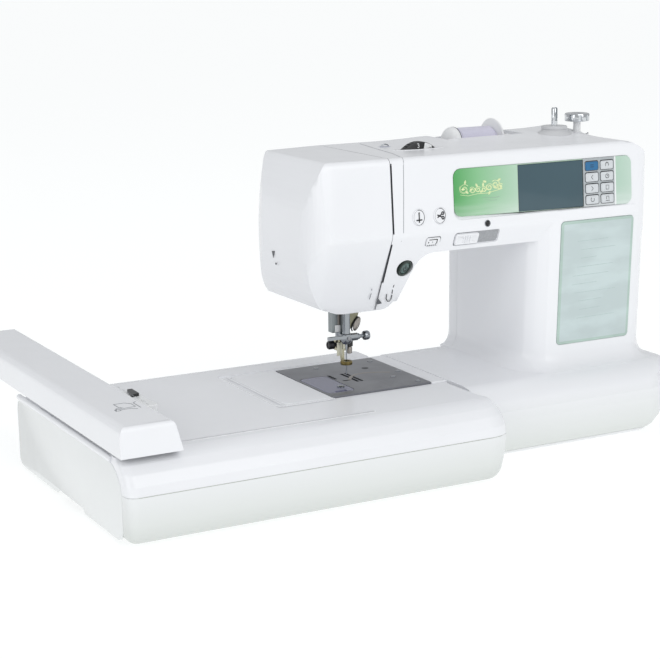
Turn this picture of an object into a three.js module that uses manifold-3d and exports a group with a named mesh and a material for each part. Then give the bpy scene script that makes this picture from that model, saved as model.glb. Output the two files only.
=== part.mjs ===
// Free-arm embroidery machine with its embroidery unit slid on from the left.
// Millimetres, +Z up, X to the right along the arm, Y from the operator towards the back.
// Everything is drawn about the point on the table below the needle; at the end the group is
// moved so that its origin is the middle of its footprint.
import * as THREE from "three";
import { mergeVertices } from "three/addons/utils/BufferGeometryUtils.js";
import Module from "manifold-3d";

const wasm = await Module();
wasm.setup();

// ---------------------------------------------------------------- driving sizes

const GAP = 0.3; // between pieces that meet
const WALL = 2.6; // moulded housing walls
const ARC = 5; // steps in a quarter turn of a large moulding
const FINE = 2; // curve steps on a small piece, which gives four to a quarter turn
const BED = 68.6; // height of the bed, the free arm and the unit's top

const base = { left: 79, right: 315, front: -100, back: 84, bottom: 3.4 };
const baseRound = { front: 30, back: 14, side: 15, under: 24, corner: 46, backCorner: 26 };
const column = {
  left: 157,
  right: base.right - 20,
  back: base.back - 2,
  footFront: base.front + 45,
  corner: 25,
};
const throatCorner = [30, 42]; // the column's big elliptical edge beside the throat
const flare = { height: 15, throat: 10, front: 16, right: 8 };
const arm = { left: -62, right: column.right, back: column.back, under: 187.5, top: 272 };
const crease = { y: column.footFront - 5, z: 206 }; // where the arm's two front faces meet
const brow = { y: crease.y + 4.8, z: arm.top - 5 }; // top of the leaning front face
const head = { bottom: 132, front: crease.y + 33, frontCorner: 20, backCorner: 42 };
const seam = { x: 13, gap: 0.5, back: 62 }; // face cover to front housing, front to rear
const threadSlot = { width: 1.7, upper: [208, 268], lower: [163, 199] };
const trayTop = 9.7;
const footHeight = base.bottom;

const freeArm = { left: -85, front: -44, back: 69, bottom: 30, corner: 9, topWall: 4 };
const plate = {
  left: -38.7,
  right: 62,
  front: freeArm.front + 0.5,
  back: freeArm.back - 4.5,
  top: BED + 0.4,
  thick: 2,
};
const bobbinCover = { left: -36, right: -9, front: -33, back: 24, corner: 5 };

const shaft = { y: 22, z: 222, radius: 4, left: -20, right: arm.right + 5 };
const crank = { radius: 18, throw: 14, left: -28 };
const pulley = { left: 236, width: 8, radius: 12 };
const lowerShaft = { y: 6.8, z: 40, radius: 3, left: -30, right: 250 };
const hook = { x: -20, y: -4, radius: 18, bottom: 48, top: plate.top - 8 };
const hookGear = { radius: 3.5, bottom: 35.3 };
const bobbin = { radius: 10.2, height: 11, bottom: 52.4 };
const handwheel = { radius: 28, width: 17.5 };

const needleBar = { radius: 3.5, bottom: 112, top: arm.top - 18 };
const presserBar = { y: 12, radius: 4, bottom: 106, top: arm.top - 26 };
const needle = { radius: 0.6, tip: 72.5, top: 103 };
const foot = { ringBottom: plate.top + 15, ringRadius: 5.4, ringHole: 2.6, ringHeight: 3 };

const panel = { left: 75.6, right: arm.right - 26.5, low: 215, high: 259.2, corner: 7, thick: 1.2 };
const lcd = { left: 143.2, right: 213.6, low: 216.4, high: 258, depth: 5 };
const keys = { left: 216.2, low: 217.4, width: 15, height: 8.6, pitchX: 17, pitchZ: 10.2 };
const card = { left: column.left + 32.5, right: column.right - 24, low: 89.3, high: 203.9, corner: 4, thick: 1.8 };
const sliderSlot = { left: 76.7, right: 123.8, low: 191.4, high: 203.6 };

const dial = { x: 73.5, y: -2, z: 255.5, radius: 23, thick: 8 };
const spool = { y: 57, z: 266, radius: 15, left: 149.3, right: 190.7, cap: 16, disc: 22 };
const trough = { left: 128, right: 213, radius: 23 };
const winder = { x: 240.5, y: 24, radius: 3, top: arm.top + 26, seat: 17, shift: 5 };
const winderStop = { x: 267, radius: 13.5, post: 4 };

const unit = { left: -267, right: base.left - 2, rearRight: base.left - 15, front: -140, back: 122, seam: 41 };
const unitBottom = 3;
const unitRound = { front: 29, back: 27, side: 4, under: 8, corner: 9, rightCorner: 15 };
const unitWall = 2.4;
const ledge = { width: 9, drop: 1.2 }; // the step round the free arm
const unitSlot = {
  left: unit.left + 5,
  right: -30,
  front: unit.front + 39,
  back: unit.back - 26,
  width: 2,
};
const carriage = {
  left: unit.left - 1,
  right: unit.left + 51,
  front: unit.front + 10,
  back: 254,
  bottom: BED + 1.6,
  top: BED + 26.4,
};
const holder = { front: -55, back: 0, low: carriage.bottom + 5.8, high: carriage.top - 7, reach: 12 };

// ---------------------------------------------------------------- finishes

const FINISHES = {
  whiteAbs: { color: "#eef0f3", roughness: 0.25, metalness: 0 },
  greyAbs: { color: "#dcdddf", roughness: 0.35, metalness: 0 },
  blackAbs: { color: "#1b1c1e", roughness: 0.4, metalness: 0 },
  greenPanel: { color: "#9fd3a8", roughness: 0.2, metalness: 0 },
  paleCard: { color: "#c9dcd8", roughness: 0.2, metalness: 0 },
  keyGrey: { color: "#c9cdd1", roughness: 0.5, metalness: 0 },
  keyBlue: { color: "#2b78b0", roughness: 0.5, metalness: 0 },
  lcdGlass: { color: "#53676f", roughness: 0.08, metalness: 0 },
  smokeClear: { color: "#8e8fa6", roughness: 0.1, metalness: 0 },
  steel: { color: "#8b8c8f", roughness: 0.35, metalness: 1 },
  chrome: { color: "#c9cbce", roughness: 0.1, metalness: 1 },
  brass: { color: "#c5b07a", roughness: 0.3, metalness: 1 },
  castAlloy: { color: "#a9abad", roughness: 0.6, metalness: 1 },
  rubber: { color: "#2a2a2b", roughness: 0.8, metalness: 0 },
  thread: { color: "#d5d2e8", roughness: 0.7, metalness: 0 },
};

// ---------------------------------------------------------------- making solids

const AXIS = {
  x: new THREE.Vector3(1, 0, 0),
  y: new THREE.Vector3(0, 1, 0),
  z: new THREE.Vector3(0, 0, 1),
};

// The drawing planes: a shape's own x, its own y and the way it is extruded.
const PLANE = {
  XY: new THREE.Matrix4(),
  YZ: new THREE.Matrix4().makeBasis(AXIS.y, AXIS.z, AXIS.x),
  XZ: new THREE.Matrix4().makeBasis(AXIS.x, AXIS.z, AXIS.y.clone().negate()),
};

// A front face that passes through (y, z) and leans back by angle: x, up the face, out of it.
function facePlane(y, z, angle) {
  const up = new THREE.Vector3(0, Math.sin(angle), Math.cos(angle));
  const out = new THREE.Vector3(0, -Math.cos(angle), Math.sin(angle));
  return new THREE.Matrix4().makeBasis(AXIS.x, up, out).setPosition(0, y, z);
}

// A closed geometry as a solid that faces out, whichever way round its profile was drawn.
function solidOf(geometry) {
  const bare = geometry.clone();
  bare.deleteAttribute("normal");
  bare.deleteAttribute("uv");
  const merged = mergeVertices(bare, 1e-4);
  const corners = merged.index.array;
  const build = (flip) => {
    const triVerts = [];
    for (let i = 0; i < corners.length; i += 3) {
      const [a, b, c] = [corners[i], corners[i + 1], corners[i + 2]];
      if (a !== b && b !== c && c !== a) triVerts.push(a, flip ? c : b, flip ? b : c);
    }
    return new wasm.Manifold(
      new wasm.Mesh({
        numProp: 3,
        vertProperties: merged.attributes.position.array,
        triVerts: new Uint32Array(triVerts),
      }),
    );
  };
  const made = build(false);
  return made.volume() > 0 ? made : build(true);
}

// A shape extruded from low to high across a plane, its edges eased by bevel.
function slab(shape, low, high, plane = PLANE.XY, bevel = 0, curveSegments = FINE) {
  const geometry = new THREE.ExtrudeGeometry(shape, {
    depth: high - low - 2 * bevel,
    curveSegments,
    bevelEnabled: bevel > 0,
    bevelSize: bevel,
    bevelThickness: bevel,
    bevelOffset: -bevel,
    bevelSegments: 1,
  });
  geometry.translate(0, 0, (plane === PLANE.XZ ? -high : low) + bevel);
  return solidOf(geometry.applyMatrix4(plane));
}

// A plain block between two corners.
function block(x0, y0, z0, x1, y1, z1) {
  const geometry = new THREE.BoxGeometry(x1 - x0, y1 - y0, z1 - z0);
  return solidOf(geometry.translate((x0 + x1) / 2, (y0 + y1) / 2, (z0 + z1) / 2));
}

// A profile of [radius, distance along the axis] pairs, turned about a line through (x, y, z).
function turned(profile, axis, x, y, z, segments = 20) {
  const points = profile.map(([radius, along]) => new THREE.Vector2(radius, along));
  const geometry = new THREE.LatheGeometry(points, segments);
  if (axis === "z") geometry.rotateX(Math.PI / 2);
  if (axis === "x") geometry.rotateZ(-Math.PI / 2);
  return solidOf(geometry.translate(x, y, z));
}

// A round bar from low to high along an axis through (x, y, z), the axis's own place left at 0.
function bar(radius, low, high, axis, x, y, z, segments = 16) {
  const profile = [
    [0, low],
    [radius, low],
    [radius, high],
    [0, high],
  ];
  return turned(profile, axis, x, y, z, segments);
}

// A rectangle with rounded corners, from low-low anticlockwise.
function rect(x0, y0, x1, y1, radius = 0) {
  const [a, b, c, d] = Array.isArray(radius) ? radius : [radius, radius, radius, radius];
  const quarter = Math.PI / 2;
  const shape = new THREE.Shape().moveTo(x0 + a, y0).lineTo(x1 - b, y0);
  if (b) shape.absarc(x1 - b, y0 + b, b, -quarter, 0);
  shape.lineTo(x1, y1 - c);
  if (c) shape.absarc(x1 - c, y1 - c, c, 0, quarter);
  shape.lineTo(x0 + d, y1);
  if (d) shape.absarc(x0 + d, y1 - d, d, quarter, 2 * quarter);
  shape.lineTo(x0, y0 + a);
  if (a) shape.absarc(x0 + a, y0 + a, a, 2 * quarter, 3 * quarter);
  return shape;
}

function circle(x, y, radius, sides = 20) {
  const points = Array.from({ length: sides }, (_, k) => {
    const angle = (k / sides) * 2 * Math.PI;
    return new THREE.Vector2(x + radius * Math.cos(angle), y + radius * Math.sin(angle));
  });
  return new THREE.Shape(points);
}

// The points of a closed outline, each one once.
function outlineOf(shape) {
  const points = shape.getPoints(ARC);
  return points.filter((point, i) => point.distanceTo(points.at(i - 1)) > 1e-3);
}

// An anticlockwise outline moved inwards by a wall's thickness.
function inset(shape, wall) {
  const points = outlineOf(shape);
  if (!wall) return new THREE.Shape(points);
  return new THREE.Shape(
    points.map((point, i) => {
      const arriving = point.clone().sub(points.at(i - 1)).normalize();
      const leaving = points[(i + 1) % points.length].clone().sub(point).normalize();
      const inward = new THREE.Vector2(-arriving.y - leaving.y, arriving.x + leaving.x).normalize();
      const squareness = inward.dot(new THREE.Vector2(-arriving.y, arriving.x));
      return point.clone().addScaledVector(inward, wall / squareness);
    }),
  );
}

// A rounded rectangle at height z as a ring; each corner has its radii along X and Y.
function ring(x0, y0, x1, y1, z, radii) {
  const [a, b, c, d] = radii.map((r) => (Array.isArray(r) ? r : [r, r]));
  const corners = [
    [x0 + a[0], y0 + a[1], a, 2],
    [x1 - b[0], y0 + b[1], b, 3],
    [x1 - c[0], y1 - c[1], c, 0],
    [x0 + d[0], y1 - d[1], d, 1],
  ];
  return corners.flatMap(([x, y, radius, quarter]) =>
    Array.from({ length: ARC + 1 }, (_, k) => {
      const angle = ((quarter + k / ARC) * Math.PI) / 2;
      return [x + radius[0] * Math.cos(angle), y + radius[1] * Math.sin(angle), z];
    }),
  );
}

// A solid skinned over convex rings that hold equally many points.
function loft(rings) {
  const n = rings[0].length;
  const triangles = [];
  for (let k = 0; k < rings.length - 1; k += 1)
    for (let i = 0; i < n; i += 1) {
      const [a, b] = [k * n + i, k * n + ((i + 1) % n)];
      triangles.push(a, b, b + n, a, b + n, a + n);
    }
  const last = (rings.length - 1) * n;
  for (let i = 1; i < n - 1; i += 1) triangles.push(0, i + 1, i, last, last + i, last + i + 1);
  const geometry = new THREE.BufferGeometry();
  geometry.setAttribute("position", new THREE.Float32BufferAttribute(rings.flat(2), 3));
  geometry.setIndex(triangles);
  return solidOf(geometry);
}

// How far a wall has rolled inwards at height z, from a rounded bottom edge to a rounded top edge.
function rollIn(z, low, high, lowRadius, highRadius) {
  const over = Math.max(0, z - (high - highRadius));
  const under = Math.max(0, low + lowRadius - z);
  if (over) return highRadius - Math.sqrt(Math.max(0, highRadius ** 2 - over ** 2));
  if (under) return lowRadius - Math.sqrt(Math.max(0, lowRadius ** 2 - under ** 2));
  return 0;
}

// Heights that follow a rounded bottom edge and a rounded top edge closely.
function rollLevels(low, high, lowRadius, highRadius) {
  const quarter = Array.from({ length: ARC + 1 }, (_, k) => (k / ARC) * (Math.PI / 2));
  const rising = quarter.map((angle) => low + lowRadius * (1 - Math.cos(angle)));
  const closing = quarter.map((angle) => high - highRadius * (1 - Math.sin(angle)));
  return [...rising, ...closing];
}

const join = (...solids) => solids.reduce((all, next) => all.add(next));
const cut = (solid, ...tools) => tools.reduce((left, tool) => left.subtract(tool), solid);

const machine = new THREE.Group();

// A finished solid as a named mesh of the machine.
function addPiece(name, solid, finish, parent = machine) {
  const made = solid.getMesh();
  const geometry = new THREE.BufferGeometry();
  geometry.setAttribute("position", new THREE.BufferAttribute(made.vertProperties, 3));
  geometry.setIndex(new THREE.BufferAttribute(made.triVerts, 1));
  geometry.computeVertexNormals();
  const mesh = new THREE.Mesh(geometry, new THREE.MeshStandardMaterial(FINISHES[finish]));
  mesh.name = name;
  parent.add(mesh);
}

// ---------------------------------------------------------------- the housing's form

const upperFace = facePlane(
  crease.y,
  crease.z,
  Math.atan2(brow.y - crease.y, brow.z - crease.z),
);
const lowerFace = facePlane(
  crease.y,
  crease.z,
  Math.atan2(crease.y - head.front, crease.z - head.bottom),
);
const columnFace = facePlane(
  crease.y,
  crease.z,
  Math.atan2(crease.y - column.footFront, crease.z - BED - flare.height),
);

// The base: a bullnosed slab that the column stands on.
function baseForm(wall) {
  const high = BED - wall;
  const low = base.bottom + wall;
  const front = baseRound.front - wall;
  const under = baseRound.under - wall;
  const rings = rollLevels(low, high, under, front).map((z) => {
    const frontIn = rollIn(z, low, high, under, front) + wall;
    const backIn = rollIn(z, low, high, under, baseRound.back - wall) + wall;
    const sideIn = rollIn(z, low, high, under, baseRound.side - wall) + wall;
    const corner = Math.max(baseRound.corner - frontIn, 4);
    const backCorner = Math.max(baseRound.backCorner - backIn, 4);
    return ring(
      base.left + wall,
      base.front + frontIn,
      base.right - sideIn,
      base.back - backIn,
      z,
      [2, corner, backCorner, 2],
    );
  });
  return loft(rings);
}

// The column, which flares out into the base; its inside is plain, so the flare is solid.
function columnForm(wall) {
  const top = crease.z + 8;
  const foot = BED - wall - 1;
  const flareTop = BED + flare.height;
  const toe = Array.from({ length: ARC + 1 }, (_, k) => k / ARC).map((t) => t * t);
  const heights = [foot, ...toe.map((t) => BED + t * flare.height), top];
  const rings = heights.map((z) => {
    const rise = Math.min(1, Math.max(0, (z - BED) / flare.height));
    const spread = wall ? 0 : 1 - Math.sqrt(1 - (1 - rise) ** 2);
    const lean = (crease.y - column.footFront) / (crease.z - flareTop);
    const front = column.footFront + lean * Math.max(0, Math.min(z, crease.z) - flareTop);
    return ring(
      column.left + wall - spread * flare.throat,
      front + wall - spread * flare.front,
      column.right - wall + spread * flare.right,
      column.back - wall,
      z,
      [
        [throatCorner[0] - wall, throatCorner[1] - wall],
        column.corner - wall + spread * flare.right,
        column.corner - wall,
        column.corner / 3,
      ],
    );
  });
  return loft(rings);
}

// The arm and head seen from the end: two leaning front faces, a flat top and a plain back.
function armSection() {
  return new THREE.Shape()
    .moveTo(head.front, head.bottom)
    .lineTo(arm.back - 14, head.bottom)
    .quadraticCurveTo(arm.back, head.bottom, arm.back, head.bottom + 18)
    .lineTo(arm.back, arm.top - 10)
    .quadraticCurveTo(arm.back, arm.top, arm.back - 12, arm.top)
    .lineTo(brow.y + 6, arm.top)
    .quadraticCurveTo(brow.y + 0.4, arm.top, brow.y, brow.z)
    .lineTo(crease.y + 0.25, crease.z + 3)
    .quadraticCurveTo(crease.y, crease.z, crease.y + 1.3, crease.z - 3);
}

// The arm and head seen from the front, with the head's bulging left end and its lifted right side.
function armOutline() {
  return new THREE.Shape()
    .moveTo(-18, head.bottom)
    .lineTo(20, head.bottom)
    .quadraticCurveTo(31, head.bottom, 35, 150)
    .lineTo(41, 170)
    .quadraticCurveTo(45, arm.under, 60, arm.under)
    .lineTo(arm.right, arm.under)
    .lineTo(arm.right, arm.top - 30)
    .absellipse(arm.right - 32, arm.top - 30, 32, 30, 0, Math.PI / 2)
    .lineTo(arm.left + 14, arm.top)
    .absellipse(arm.left + 14, arm.top - 44, 14, 44, Math.PI / 2, Math.PI)
    .lineTo(arm.left, 192)
    .absellipse(-18, 192, -18 - arm.left, 192 - head.bottom, Math.PI, 1.5 * Math.PI);
}

function armPlan() {
  const corners = [head.frontCorner, column.corner, column.corner, head.backCorner];
  return rect(arm.left, crease.y, arm.right, arm.back, corners);
}

function armForm(wall) {
  const section = slab(inset(armSection(), wall), arm.left - 5, arm.right + 5, PLANE.YZ);
  const outline = slab(inset(armOutline(), wall), crease.y - 5, arm.back + 5, PLANE.XZ);
  const plan = slab(inset(armPlan(), wall), head.bottom - 5, arm.top + 5);
  return section.intersect(outline).intersect(plan);
}

// The whole housing, smaller by a wall's thickness all round, with the spool's trough in its top.
function housingForm(wall) {
  const spoolTrough = bar(
    trough.radius + wall,
    trough.left - wall,
    trough.right + wall,
    "x",
    0,
    spool.y,
    spool.z,
    28,
  );
  return cut(join(baseForm(wall), columnForm(wall), armForm(wall)), spoolTrough);
}

// A box that keeps a region of the shell; the far sides lie well outside the machine.
const FAR = 500;
const region = (x0, x1, y0, y1, z0, z1) => block(x0, y0, z0, x1, y1, z1);

function housingShells() {
  const shell = housingForm(0).subtract(housingForm(WALL));
  const front = seam.back;
  const right = seam.x + seam.gap / 2;
  const left = seam.x - seam.gap / 2;
  const above = trayTop + GAP;
  return {
    face: shell.intersect(region(-FAR, left, -FAR, FAR, above, FAR)),
    front: shell.intersect(region(right, FAR, -FAR, front, above, FAR)),
    rear: shell.intersect(region(right, FAR, front + GAP, FAR, above, FAR)),
  };
}

const faceHeight = (z, angle = 0) => (z - crease.z) / Math.cos(angle);
const lowerAngle = Math.atan2(crease.y - head.front, crease.z - head.bottom);

// Where each control sits: its plane, its middle and its half sizes.
const BUTTONS = {
  needle_position_button: { plane: upperFace, x: 39.9, up: faceHeight(220.4), radius: 7 },
  thread_cutter_button: { plane: upperFace, x: 61.2, up: faceHeight(220.3), radius: 7 },
  start_stop_button: { plane: lowerFace, x: 33, up: faceHeight(175, lowerAngle), radius: 8 },
};
const lockButton = { x: 55.2, up: faceHeight(198, lowerAngle), width: 14, height: 8 };
const BUTTON_PROUD = 1.2;
const BUTTON_DEEP = 6;

function keyPlace(index) {
  const column0 = index % 2;
  const row = 3 - Math.floor(index / 2);
  const x = keys.left + column0 * keys.pitchX;
  const up = faceHeight(keys.low) + row * keys.pitchZ;
  return [x, up, x + keys.width, up + keys.height];
}

function frontCuts() {
  const through = [-WALL - 6, 4];
  const holes = Object.values(BUTTONS).map(({ plane, x, up, radius }) =>
    slab(circle(x, up, radius + GAP), ...through, plane),
  );
  const { x, up, width, height } = lockButton;
  const half = [width / 2 + GAP, height / 2 + GAP];
  holes.push(
    slab(rect(x - half[0], up - half[1], x + half[0], up + half[1], 2.4), ...through, lowerFace),
  );
  const low = faceHeight(panel.low);
  const high = faceHeight(panel.high);
  const overlay = rect(
    panel.left - GAP,
    low - GAP,
    panel.right + GAP,
    high + GAP,
    panel.corner + GAP,
  );
  holes.push(slab(overlay, -panel.thick, 4, upperFace));
  const window = rect(
    lcd.left - GAP,
    faceHeight(lcd.low) - GAP,
    keyPlace(1)[2] + GAP,
    faceHeight(lcd.high) + GAP,
  );
  holes.push(slab(window, ...through, upperFace));
  const pocket = rect(
    card.left - GAP,
    faceHeight(card.low) - GAP,
    card.right + GAP,
    faceHeight(card.high) + GAP,
    card.corner,
  );
  holes.push(slab(pocket, -1.2, 8, columnFace));
  return [...holes, ...sliderCuts()];
}

// The speed slider's shallow pocket and the slot its neck runs in.
function sliderCuts() {
  const low = faceHeight(sliderSlot.low, lowerAngle);
  const high = faceHeight(sliderSlot.high, lowerAngle);
  const middle = (low + high) / 2;
  return [
    slab(rect(sliderSlot.left, low, sliderSlot.right, high, 2.5), -1.4, 6, lowerFace),
    slab(
      rect(sliderSlot.left + 5, middle - 1.8, sliderSlot.right - 5, middle + 1.8),
      -WALL - 6,
      2,
      lowerFace,
    ),
  ];
}

// Holes in the housing's top for the tension dial, the winder and the stop's post.
function topCuts() {
  const slotEnd = dial.radius * 0.62;
  const dialSlot = rect(
    dial.x - slotEnd - 5,
    dial.y - dial.thick / 2 - 1,
    dial.x + slotEnd + 5,
    dial.y + dial.thick / 2 + 1,
    4.9,
  );
  const winderSlot = rect(
    winder.x - winder.radius - 1,
    winder.y - winder.radius - 1,
    winder.x + winder.radius + winder.shift + 1,
    winder.y + winder.radius + 1,
    winder.radius + 0.9,
  );
  return [
    slab(dialSlot, arm.top - 8, arm.top + 4),
    slab(winderSlot, arm.top - 12, arm.top + 4),
    bar(winderStop.post + 0.6, arm.top - 12, arm.top + 4, "z", winderStop.x, winder.y, 0),
  ];
}

// The thread slots: the seam between face cover and front housing, opened on the front.
function slotCuts() {
  return [threadSlot.upper, threadSlot.lower].map(([low, high]) =>
    block(seam.x, -70, low, seam.x + threadSlot.width, -20, high),
  );
}

// The opening that the needle bar, presser bar and presser lifter come down through.
function headMouth() {
  return join(
    block(-21, -14, head.bottom - 4, 24, 24, head.bottom + 6),
    block(-4, 25.5, head.bottom - 4, 62, 38.5, head.bottom + 40),
  );
}

function addHousing() {
  const shells = housingShells();
  const rightWall = [column.right - 12, column.right + 12];
  const wheelHole = bar(shaft.radius + 2, ...rightWall, "x", 0, shaft.y, shaft.z);
  const armHole = block(
    base.left - 4,
    freeArm.front + 6,
    trayTop + GAP - 1,
    base.left + 8,
    freeArm.back - 6,
    BED - 6,
  );
  const sockets = [SWITCH, INLET].map(({ y, z, width, height }) =>
    block(
      rightWall[0],
      y - width / 2 - GAP,
      z - height / 2 - GAP,
      rightWall[1],
      y + width / 2 + GAP,
      z + height / 2 + GAP,
    ),
  );
  const front = cut(
    shells.front,
    ...frontCuts(),
    ...topCuts(),
    ...slotCuts(),
    headMouth(),
    wheelHole,
    armHole,
    ...sockets,
  );
  addPiece("front_housing", front, "whiteAbs");
  addPiece("rear_housing", cut(shells.rear, armHole), "whiteAbs");
  addPiece("face_cover", cut(shells.face, headMouth()), "whiteAbs");
  addPiece("base_tray", baseTray(), "greyAbs");
}

// The tray that closes the base, with its four round feet.
function baseTray() {
  const body = baseForm(0).intersect(region(-FAR, FAR, -FAR, FAR, 0, trayTop));
  const feet = [
    [base.left + 28, base.front + 52],
    [base.left + 28, base.back - 34],
    [base.right - 58, base.front + 52],
    [base.right - 58, base.back - 34],
  ].map(([x, y]) =>
    turned(
      [
        [0, 0],
        [8.4, 0],
        [9.4, 1],
        [10.5, footHeight + 1],
        [0, footHeight + 1],
      ],
      "z",
      x,
      y,
      0,
    ),
  );
  return join(body, ...feet);
}

// ---------------------------------------------------------------- free arm and bed

function addFreeArm() {
  const { left, front, back, bottom, corner, topWall } = freeArm;
  const right = base.left - GAP;
  const corners = [corner, 0, 0, corner];
  const outer = slab(rect(left, front, right, back, corners), bottom, BED, PLANE.XY, 0.8);
  const innerCorners = [corner - WALL, 0, 0, corner - WALL];
  const inner = slab(
    rect(left + WALL, front + WALL, right + 2, back - WALL, innerCorners),
    bottom + WALL,
    BED - topWall,
  );
  const seat = block(
    plate.left - GAP,
    plate.front - 10,
    plate.top - plate.thick - GAP,
    plate.right + GAP,
    plate.back + GAP,
    BED + 5,
  );
  const well = block(
    plate.left + 5,
    plate.front + 5,
    BED - topWall - 2,
    plate.right - 5,
    plate.back - 5,
    BED + 5,
  );
  addPiece("free_arm_cover", cut(outer, inner, seat, well), "whiteAbs");
}

// The steel plate with its needle slot, feed slots, screw holes and the bobbin's opening.
function addNeedlePlate() {
  const { left, right, front, back, top, thick } = plate;
  const shape = rect(left, front, right, back, 1.5);
  shape.holes.push(rect(-4, -1.2, 4, 1.2, 1.1));
  for (const [x, y0, y1] of FEED_ROWS) shape.holes.push(rect(x - 1.4, y0, x + 1.4, y1, 1.2));
  const well = bobbinCover;
  shape.holes.push(
    rect(
      well.left - GAP,
      well.front - GAP,
      well.right + GAP,
      well.back + GAP,
      well.corner + GAP,
    ),
  );
  addPiece("needle_plate", slab(shape, top - thick, top), "steel");
  const cover = cut(
    slab(
      rect(well.left, well.front, well.right, well.back, well.corner),
      top - thick,
      top,
      PLANE.XY,
      0.4,
    ),
    block(well.left + 8, well.front - 1, top - 0.8, well.right - 8, well.front + 5, top + 1),
  );
  addPiece("bobbin_cover", cover, "smokeClear");
}

// Feed rows: their middles across, and their front and back ends.
const FEED_ROWS = [
  [-6.2, 8, 24],
  [7.2, -9, 24],
  [11.4, -9, 24],
];

function addFeedDog() {
  const floor = plate.top - plate.thick - 4;
  const rows = FEED_ROWS.map(([x, y0, y1]) =>
    block(x - 0.9, y0 + 2.6, floor - 1, x + 0.9, y1 - 2.6, plate.top - plate.thick + 0.6),
  );
  const bed = block(-7.4, 10.5, floor - 4, 12.6, 22, floor);
  addPiece("feed_dog", join(bed, ...rows), "steel");
}

// ---------------------------------------------------------------- hook and bobbin

function addHook() {
  const { x, y, radius, bottom, top } = hook;
  const floor = bottom + 2;
  const race = turned(
    [
      [0, hookGear.bottom],
      [hookGear.radius, hookGear.bottom],
      [hookGear.radius, hookGear.bottom + 9.4],
      [2.5, hookGear.bottom + 10.4],
      [2.5, bottom],
      [radius - 2, bottom],
      [radius, bottom + 2],
      [radius, top],
      [radius - 2, top],
      [radius - 2, floor],
      [0, floor],
    ],
    "z",
    x,
    y,
    0,
    24,
  );
  const point = block(x + radius - 6, y - 9, top - 4.5, x + radius + 1, y - 2, top + 1);
  addPiece("rotary_hook", cut(race, point), "steel");
  const caseRadius = radius - 2 - GAP;
  const caseFloor = floor + GAP;
  const bobbinCase = turned(
    [
      [0, caseFloor],
      [caseRadius, caseFloor],
      [caseRadius, top + 0.6],
      [caseRadius + 1.2, top + 0.8],
      [caseRadius + 1.2, top + 2.6],
      [bobbin.radius + 1.2, top + 2.6],
      [bobbin.radius + 1.2, caseFloor + 1.6],
      [0, caseFloor + 1.6],
    ],
    "z",
    x,
    y,
    0,
    24,
  );
  addPiece("bobbin_case", bobbinCase, "blackAbs");
  addPiece("bobbin", bobbinSolid(), "smokeClear");
}

// A flanged bobbin with a bore.
function bobbinSolid() {
  const low = bobbin.bottom;
  const high = low + bobbin.height;
  return turned(
    [
      [2.8, low],
      [bobbin.radius, low],
      [bobbin.radius, low + 1],
      [4.6, low + 1.2],
      [4.6, high - 1.2],
      [bobbin.radius, high - 1],
      [bobbin.radius, high],
      [2.8, high],
      [2.8, low],
    ],
    "z",
    hook.x,
    hook.y,
    0,
    28,
  );
}

// ---------------------------------------------------------------- frame, shafts and motor

const CHASSIS = { front: 42, back: 56, right: 278, beamLow: 205, beamHigh: 236 };

// A rib that stands forward from the frame with a bore for a bar or shaft.
function lug(x0, x1, y0, z0, z1, ...bores) {
  return cut(block(x0, y0, z0, x1, CHASSIS.front + 2, z1), ...bores);
}

function addChassis() {
  const outline = new THREE.Shape()
    .moveTo(-72, 35)
    .lineTo(CHASSIS.right, 35)
    .lineTo(CHASSIS.right, CHASSIS.beamHigh)
    .lineTo(-44, CHASSIS.beamHigh)
    .lineTo(-44, CHASSIS.beamLow - 40)
    .lineTo(12, CHASSIS.beamLow - 40)
    .lineTo(26, CHASSIS.beamLow)
    .lineTo(172, CHASSIS.beamLow)
    .lineTo(172, 56)
    .lineTo(-72, 56);
  for (const z of [84, 124, 164]) outline.holes.push(rect(188, z - 14, 266, z + 14, 6));
  const wall = slab(outline, CHASSIS.front, CHASSIS.back, PLANE.XZ);
  const runs = GAP;
  const needleBore = bar(needleBar.radius + runs, 130, 260, "z", 0, 0, 0);
  const presserBore = bar(presserBar.radius + runs, 130, 260, "z", 0, presserBar.y, 0);
  const mainBore = bar(shaft.radius + runs, -60, 300, "x", 0, shaft.y, shaft.z);
  const lowBore = bar(lowerShaft.radius + runs, -60, 300, "x", 0, lowerShaft.y, lowerShaft.z);
  const lugs = [
    lug(-9, 9, -8, 162, 171, needleBore, presserBore),
    lug(-9, 9, -8, 228, 236, needleBore, presserBore),
    lug(34, 46, 12, 211, 233, mainBore),
    lug(212, 224, 12, 211, 233, mainBore),
    lug(92, 102, -2, 35, 50, lowBore),
    lug(212, 224, -2, 35, 50, lowBore),
  ];
  addPiece("chassis_frame", join(wall, ...lugs), "castAlloy");
}

// A shaft along X with a flanged belt pulley.
function pulleyShaft(left, right, radius, y, z) {
  const start = pulley.left;
  const end = start + pulley.width;
  const flange = pulley.radius + 2.4;
  return turned(
    [
      [0, left],
      [radius, left],
      [radius, start - 1.6],
      [flange, start - 1.6],
      [flange, start - GAP],
      [pulley.radius, start - GAP],
      [pulley.radius, end + GAP],
      [flange, end + GAP],
      [flange, end + 1.6],
      [radius, end + 1.6],
      [radius, right],
      [0, right],
    ],
    "x",
    0,
    y,
    z,
  );
}

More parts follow.
